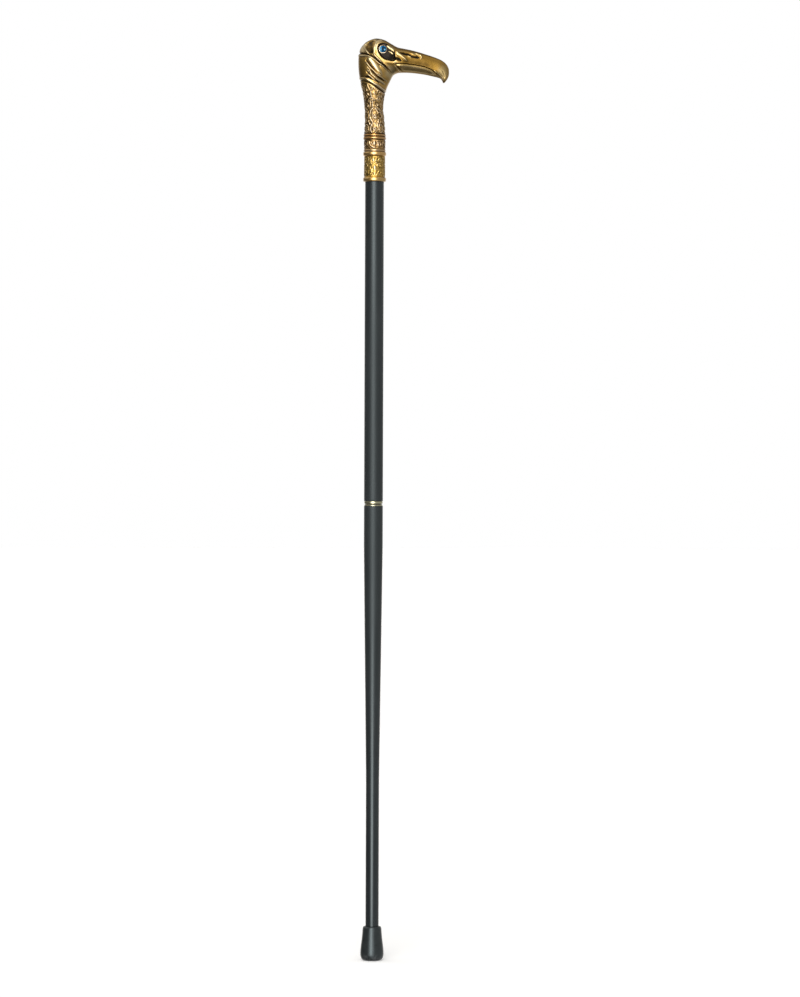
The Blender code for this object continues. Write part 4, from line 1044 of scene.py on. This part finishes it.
BEZEL = rounded([
    (3.46, 10.6), (3.46, 11.35), (3.56, 11.84), (3.84, 12.06), (4.14, 11.90), (4.38, 11.45), (4.44, 11.0), (4.46, 9.4),
], [0, 0.2, 0.2, 0.3, 0.2, 0.3, 0.4, 0], 3)
for side, sign in (("left", 1.0), ("right", -1.0)):
    ring_piece = facing(f"eye_bezel_{side}", BEZEL[:-1] + [(4.46, 9.4), (3.46, 9.4)], sign, 72, 30.0)
    put(ring_piece, "handle", GOLD, "gold_trim", f"eye_setting_{side}")
    put(jewel(f"eye_jewel_{side}", sign), "handle", BLUE, "blue_glass", f"eye_stone_{side}")


# --------------------------------------------------------------------- collar
def collar_piece(segments=240):
    """The collar: relief between two turned beads, on a bored shell."""
    beads = [
        (10.60, 807.96), (10.95, 807.90), (11.28, 807.60), (11.5, 807.0), (11.56, 806.1), (11.5, 805.3), (11.28, 804.6), (10.95, 804.2), (10.55, 804.0),
        (10.32, 803.6), (10.26, 803.0),
    ]
    foot = [
        (10.26, 783.8), (10.32, 783.2), (10.5, 782.7), (10.9, 782.35), (11.28, 781.95), (11.5, 781.3), (11.56, 780.4), (11.5, 779.5), (11.28, 778.8), (10.95, 778.4), (10.62, 778.24),
    ]
    up = spline([(r, z) for r, z in beads], 4)
    low = spline([(r, z) for r, z in foot], 4)
    body = np.stack([np.full(96, 10.26), np.linspace(802.8, 784.0, 96)], axis=1)
    prof = np.vstack([up, body, low])
    a = np.arange(segments) * TAU / segments
    panel = collar_panel()
    turn = (a + math.pi / 2 + math.pi) % TAU - math.pi
    S = np.broadcast_to(((turn + 0.0) * 10.0)[None, :], (len(prof), segments))
    Z = np.broadcast_to(prof[:, 1][:, None], (len(prof), segments))
    mask = smoothstep(803.5 - Z, 0.0, 0.5) * smoothstep(Z - 783.0, 0.0, 0.5)
    relief = (panel.sample(S, Z) - 0.06) * mask
    wob = 0.05 * np.sin(3 * a + 1.0)[None, :] * np.sin(Z / 7.0)
    R = prof[:, 0][:, None] + relief + wob * mask
    x, y = R * np.cos(a), R * np.sin(a)
    outer = np.stack([x, y, Z], axis=-1)
    inner = [(9.7, 778.24), (9.7, 805.6), (6.2, 805.6), (6.2, 807.96)]
    rings = [outer] + [np.stack([r * np.cos(a), r * np.sin(a), np.full(segments, z)], axis=-1)[None] for r, z in inner]
    grid = np.concatenate(rings, axis=0)
    n = len(grid)
    i = np.arange(n)[:, None]
    j = np.arange(segments)[None, :]
    k = (j + 1) % segments
    i2 = (i + 1) % n
    faces = np.stack(np.broadcast_arrays(i * segments + k, i * segments + j, i2 * segments + j, i2 * segments + k), axis=-1).reshape(-1, 4)
    obj = mesh_object("relief_collar", grid.reshape(-1, 3), faces, 60.0)
    h = (R - prof[:, 0][:, None])
    cav = (h - blur(h, 3.0)) * 0.8 + (h - blur(h, 8.0)) * 0.4 + np.where(mask > 0.5, 0.0, 0.28)
    # the grooves beside the beads hold the patina
    groove = np.exp(-((prof[:, 1] - 803.6) / 0.35) ** 2) + np.exp(-((prof[:, 1] - 782.9) / 0.35) ** 2)
    cav = cav - 0.55 * groove[:, None]
    values = np.zeros(len(grid) * segments)
    values[: cav.size] = cav.ravel()
    put_attribute(obj, "brass_tone", values)
    values = np.zeros(len(grid) * segments)
    values[: mask.size] = mask.ravel()
    put_attribute(obj, "worked", values)
    return obj


put(collar_piece(), "upper_shaft", COLLAR_BRASS, "yellow_brass", "collar")


# --------------------------------------------------------------- shaft tubes
def tube(name, outline, inner, segments=144):
    """A tube from its outer profile, top to bottom, and its inner one, bottom to top."""
    return lathe(name, rounded(outline, 0.18, 3) + inner, segments, 34.0)


def taper(z_top, z_low, r_top, r_low, steps=28):
    """Points along a taper that eases in and out of the straight parts."""
    out = []
    for i in range(steps + 1):
        t = i / steps
        out.append((r_top + (r_low - r_top) * (0.12 * (3 * t * t - 2 * t ** 3) + 0.88 * t), z_top + (z_low - z_top) * t))
    return out


upper_outline = [(8.4, 803.0), (9.4, 803.0), (9.4, 800.0), (9.4, 630.0), (9.4, 462.0), (9.4, 459.1), (8.4, 459.1)]
put(tube("upper_shaft_tube", upper_outline, [(8.2, 459.1), (8.2, 803.0)]), "upper_shaft", ENAMEL, "satin_black", "upper_tube")
lower_outline = [(8.4, 454.2), (9.4, 454.2), (9.4, 452.0)] + taper(415.0, 180.0, 9.4, 6.6) + [(6.6, 80.0), (6.6, 6.4), (5.6, 6.4)]
put(tube("lower_shaft_tube", lower_outline, [(5.4, 6.4), (5.4, 180.0), (8.2, 415.0), (8.2, 454.2)]), "lower_shaft", ENAMEL, "satin_black", "lower_tube")


# ------------------------------------------------------------- shaft joint
joint_flange = rounded([
    (7.35, 480.0), (7.95, 479.4), (7.95, 459.0), (8.3, 458.9), (9.05, 458.9), (9.25, 458.6), (9.25, 456.85), (8.95, 456.5), (4.25, 456.5),
], [0, 0.2, 0.1, 0.1, 0.12, 0.2, 0.3, 0.15, 0], 4)
put(lathe("joint_plug_ring", joint_flange + [(4.25, 480.0)], 120, 34.0), "upper_shaft", PALE_BRASS, "pale_brass", "joint_plug")


def thread_radius(z, a, crest, root, pitch=2.0):
    """Radius of a right-hand thread's surface at a height and an angle."""
    phase = np.mod(z / pitch - a / TAU, 1.0)
    rise = np.interp(phase, [0.0, 0.30, 0.50, 0.80, 1.0], [0.0, 1.0, 1.0, 0.0, 0.0])
    return root + (crest - root) * rise


def joint_socket_piece(segments=96):
    """The lower ring of the joint: a plug with a threaded hole through it."""
    a = np.arange(segments) * TAU / segments
    rows = [(r, z, None) for r, z in rounded([(7.45, 434.0), (7.95, 434.5), (7.95, 454.4), (9.15, 454.4), (9.25, 454.6), (9.25, 455.2), (8.95, 455.5), (5.6, 455.5)], [0, 0.2, 0, 0.05, 0.1, 0.15, 0.2, 0], 3)]
    rows = [(r, z) for r, z, _ in rows]
    thread = []
    for z in np.arange(455.4, 437.5, -0.2):
        r = thread_radius(z - 455.5, a, 5.25, 4.0)
        r = np.maximum(r, 5.35 - 1.25 * (455.5 - z) / 0.8)
        thread.append((np.minimum(r, 5.5), z))
    inner = [(5.5, 436.9), (5.5, 434.0)]
    ring = [np.stack([np.broadcast_to(r, a.shape) * np.cos(a), np.broadcast_to(r, a.shape) * np.sin(a), np.full(segments, z)], axis=-1) for r, z in rows + thread + inner]
    grid = np.stack(ring)
    n = len(grid)
    i = np.arange(n)[:, None]
    j = np.arange(segments)[None, :]
    k = (j + 1) % segments
    i2 = (i + 1) % n
    faces = np.stack(np.broadcast_arrays(i * segments + j, i * segments + k, i2 * segments + k, i2 * segments + j), axis=-1).reshape(-1, 4)
    return mesh_object("joint_socket_ring", grid.reshape(-1, 3), faces, 34.0)


put(joint_socket_piece(), "lower_shaft", PALE_BRASS, "pale_brass", "joint_socket")


# --------------------------------------------------------------- rubber tip
def rubber_tip_piece(segments=160):
    """The moulded tip, with its parting line and the rings under its foot."""
    side = spline([(8.6, 33.72), (9.15, 32.85), (9.45, 31.4), (9.75, 27.0), (10.25, 22.0), (10.95, 16.5), (11.55, 11.0), (11.74, 7.5), (11.64, 5.4), (11.2, 3.2), (10.25, 1.4), (8.9, 0.38), (7.7, 0.05)], 5)
    rows = [(6.9, 34.0), (7.3, 34.0), (8.0, 33.98)] + [tuple(p) for p in side] + [(7.2, 0.0)]
    rows += [(6.7, 0.0), (6.55, 1.0), (5.95, 1.0), (5.8, 0.0), (4.3, 0.0), (4.15, 1.0), (3.55, 1.0), (3.4, 0.0), (1.2, 0.0)]
    a = np.arange(segments) * TAU / segments
    seam = np.exp(-((np.mod(a, math.pi) - math.pi / 2) / 0.018) ** 2)
    verts, ids = [], []
    for r, z in rows + [(0.0, 0.0)]:
        if r == 0.0:
            ids.append([len(verts)])
            verts.append((0.0, 0.0, z))
            continue
        rr = np.full(segments, r)
        if 0.4 < z < 33.4 and r > 8.5:
            rr = rr + 0.07 * seam - 0.05
        ids.append(list(range(len(verts), len(verts) + segments)))
        verts.extend(zip(rr * np.cos(a), rr * np.sin(a), np.full(segments, z)))
    pocket = [(6.9, 4.8), (0.0, 4.8)]
    ids_in = []
    for r, z in pocket:
        if r == 0.0:
            ids_in.append([len(verts)])
            verts.append((0.0, 0.0, z))
        else:
            ids_in.append(list(range(len(verts), len(verts) + segments)))
            verts.extend(zip(r * np.cos(a), r * np.sin(a), np.full(segments, z)))
    faces = []

    def join(top, low):
        for j in range(segments):
            k = (j + 1) % segments
            if len(low) == 1:
                faces.append((top[k], top[j], low[0]))
            else:
                faces.append((top[k], top[j], low[j], low[k]))

    for top, low in zip(ids, ids[1:]):
        join(top, low)
    for j in range(segments):
        k = (j + 1) % segments
        faces.append((ids[0][j], ids[0][k], ids_in[0][k], ids_in[0][j]))
        faces.append((ids_in[0][j], ids_in[0][k], ids_in[1][0]))
    return mesh_object("rubber_foot", verts, faces, 40.0)


put(rubber_tip_piece(), "tip", RUBBER, "rubber_black", "rubber_tip")

# ---------------------------------------- CAD pieces that keep their own shape
for node, look in (
    ("neck_plug", INNER_BRASS), ("handle_stud", STEEL), ("handle_washer", FIBRE), ("top_insert", INNER_BRASS), ("joint_stud", STEEL),
    ("joint_washer", FIBRE), ("end_plug", PLASTIC), ("tip_washer", STEEL),
):
    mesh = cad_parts[node].data
    mesh.materials.clear()
    mesh.materials.append(look)

# =================================================================== the stage
floor_mesh = bpy.data.meshes.new("studio_floor")
bm = bmesh.new()
bmesh.ops.create_circle(bm, cap_ends=True, segments=96, radius=14.0)
bm.to_mesh(floor_mesh)
bm.free()
floor = bpy.data.objects.new("studio_floor", floor_mesh)
floor.location = (0.0, 0.0, -0.0002)
bpy.context.scene.collection.objects.link(floor)
k = Look("pale_floor")
paper = k.noise(6.0, 3.0)
k.finish(Base_Color=k.mix(paper, (0.86, 0.86, 0.86), (0.90, 0.90, 0.90)), Roughness=0.9, Emission_Color=(1.0, 1.0, 1.0, 1.0), Emission_Strength=0.22)
floor_mesh.materials.append(k.mat)
floor.visible_glossy = False

# ------------------------------------------------- soft studio surroundings
world = bpy.data.worlds.new("studio")
bpy.context.scene.world = world
world.use_nodes = True
tree = world.node_tree
tree.nodes.clear()


def wnode(kind, **props):
    node = tree.nodes.new(kind)
    for key, value in props.items():
        setattr(node, key, value)
    return node


def wmath(op, a, b=0.0, c=0.0, clamp=False):
    node = wnode("ShaderNodeMath", operation=op, use_clamp=clamp)
    for socket, value in zip(node.inputs, (a, b, c)):
        if isinstance(value, bpy.types.NodeSocket):
            tree.links.new(value, socket)
        else:
            socket.default_value = value
    return node.outputs[0]


def wspan(value, lo, hi, to_lo=0.0, to_hi=1.0):
    node = wnode("ShaderNodeMapRange", interpolation_type="SMOOTHSTEP")
    tree.links.new(value, node.inputs["Value"])
    for key, number in (("From Min", lo), ("From Max", hi), ("To Min", to_lo), ("To Max", to_hi)):
        node.inputs[key].default_value = number
    return node.outputs["Result"]


direction = wnode("ShaderNodeTexCoord").outputs["Generated"]
xyz = wnode("ShaderNodeSeparateXYZ")
tree.links.new(direction, xyz.inputs[0])
dx, dy, dz = xyz.outputs["X"], xyz.outputs["Y"], xyz.outputs["Z"]
bearing = wmath("MULTIPLY", wmath("ARCTAN2", dx, wmath("MULTIPLY", dy, -1.0)), 180.0 / math.pi)  # 0 towards -Y, 90 towards +X
rise = wmath("MULTIPLY", wmath("ARCSINE", dz), 180.0 / math.pi)


def panel_light(centre, half_width, low, high, soft, strength):
    """A soft-edged rectangle of light, by bearing and height in degrees."""
    off = wmath("ABSOLUTE", wmath("SUBTRACT", bearing, centre))
    across = wspan(off, half_width, half_width + soft, 1.0, 0.0)
    up = wspan(rise, low - soft, low)
    down = wspan(rise, high, high + soft, 1.0, 0.0)
    return wmath("MULTIPLY", wmath("MULTIPLY", across, wmath("MULTIPLY", up, down)), strength)


behind = wspan(wmath("ABSOLUTE", bearing), 122.0, 150.0, 0.0, 0.92)
level = wmath("ADD", wmath("MULTIPLY", behind, wspan(rise, 8.0, 30.0, 1.0, 0.05)), 0.11)  # white backdrop behind
level = wmath("ADD", level, panel_light(78.0, 46.0, -35.0, 60.0, 14.0, 0.42))  # fill on the right
level = wmath("ADD", level, panel_light(-70.0, 30.0, -20.0, 50.0, 16.0, 0.08))
level = wmath("ADD", level, panel_light(22.0, 34.0, -58.0, -20.0, 10.0, 0.26))  # light off the floor, low in front
level = wmath("ADD", level, panel_light(-106.0, 30.0, 24.0, 62.0, 14.0, 0.80))  # rim light, up on the left
fall = wmath("DIVIDE", wmath("ADD", bearing, 7.0), 18.0)
strip = wmath("EXPONENT", wmath("MULTIPLY", wmath("MULTIPLY", fall, fall), -1.0))
strip = wmath("MULTIPLY", strip, wmath("MULTIPLY", wspan(rise, -32.0, -6.0), wspan(rise, 38.0, 64.0, 1.0, 0.0)))
level = wmath("ADD", level, wmath("MULTIPLY", strip, 8.0))  # main soft box, brightest in the middle
above = wmath("MULTIPLY", wspan(rise, 46.0, 76.0, 0.0, 0.90), wspan(dy, -0.05, 0.34, 1.0, 0.12))
level = wmath("ADD", level, above)  # light from above
below = wspan(rise, -20.0, -55.0, 0.0, 1.0)
level = wmath("ADD", wmath("MULTIPLY", level, wmath("SUBTRACT", 1.0, wmath("MULTIPLY", below, 0.55))), wmath("MULTIPLY", below, 0.12))
glow = wnode("ShaderNodeBackground")
glow.inputs["Color"].default_value = (1.0, 0.985, 0.96, 1.0)
tree.links.new(level, glow.inputs["Strength"])
plain = wnode("ShaderNodeBackground")
plain.inputs["Color"].default_value = (1.0, 1.0, 1.0, 1.0)
plain.inputs["Strength"].default_value = 1.0
seen = wnode("ShaderNodeLightPath").outputs["Is Camera Ray"]
choose = wnode("ShaderNodeMixShader")
tree.links.new(seen, choose.inputs[0])
tree.links.new(glow.outputs[0], choose.inputs[1])
tree.links.new(plain.outputs[0], choose.inputs[2])
tree.links.new(choose.outputs[0], wnode("ShaderNodeOutputWorld").inputs["Surface"])

# ----------------------------------------------------------------- the camera
DISTANCE = 4.0
EYE_LEVEL = 0.53
CENTRE = 0.4617
SPAN = 0.997  # metres that the frame's long side covers at the cane
cam_data = bpy.data.cameras.new("camera")
cam = bpy.data.objects.new("camera", cam_data)
bpy.context.scene.collection.objects.link(cam)
cam_data.sensor_width = 36.0
cam_data.sensor_fit = "AUTO"
cam_data.lens = 36.0 * DISTANCE / SPAN
cam_data.shift_y = (CENTRE - EYE_LEVEL) / SPAN
cam_data.clip_start, cam_data.clip_end = 0.05, 60.0
cam_data.dof.use_dof = False
cam.location = (0.0263, -DISTANCE, EYE_LEVEL)
cam.rotation_euler = (math.pi / 2, math.radians(-0.196), 0.0)
bpy.context.scene.camera = cam
bpy.context.scene.view_settings.view_transform = "Standard"
bpy.context.scene.view_settings.look = "None"

bpy.context.view_layer.update()
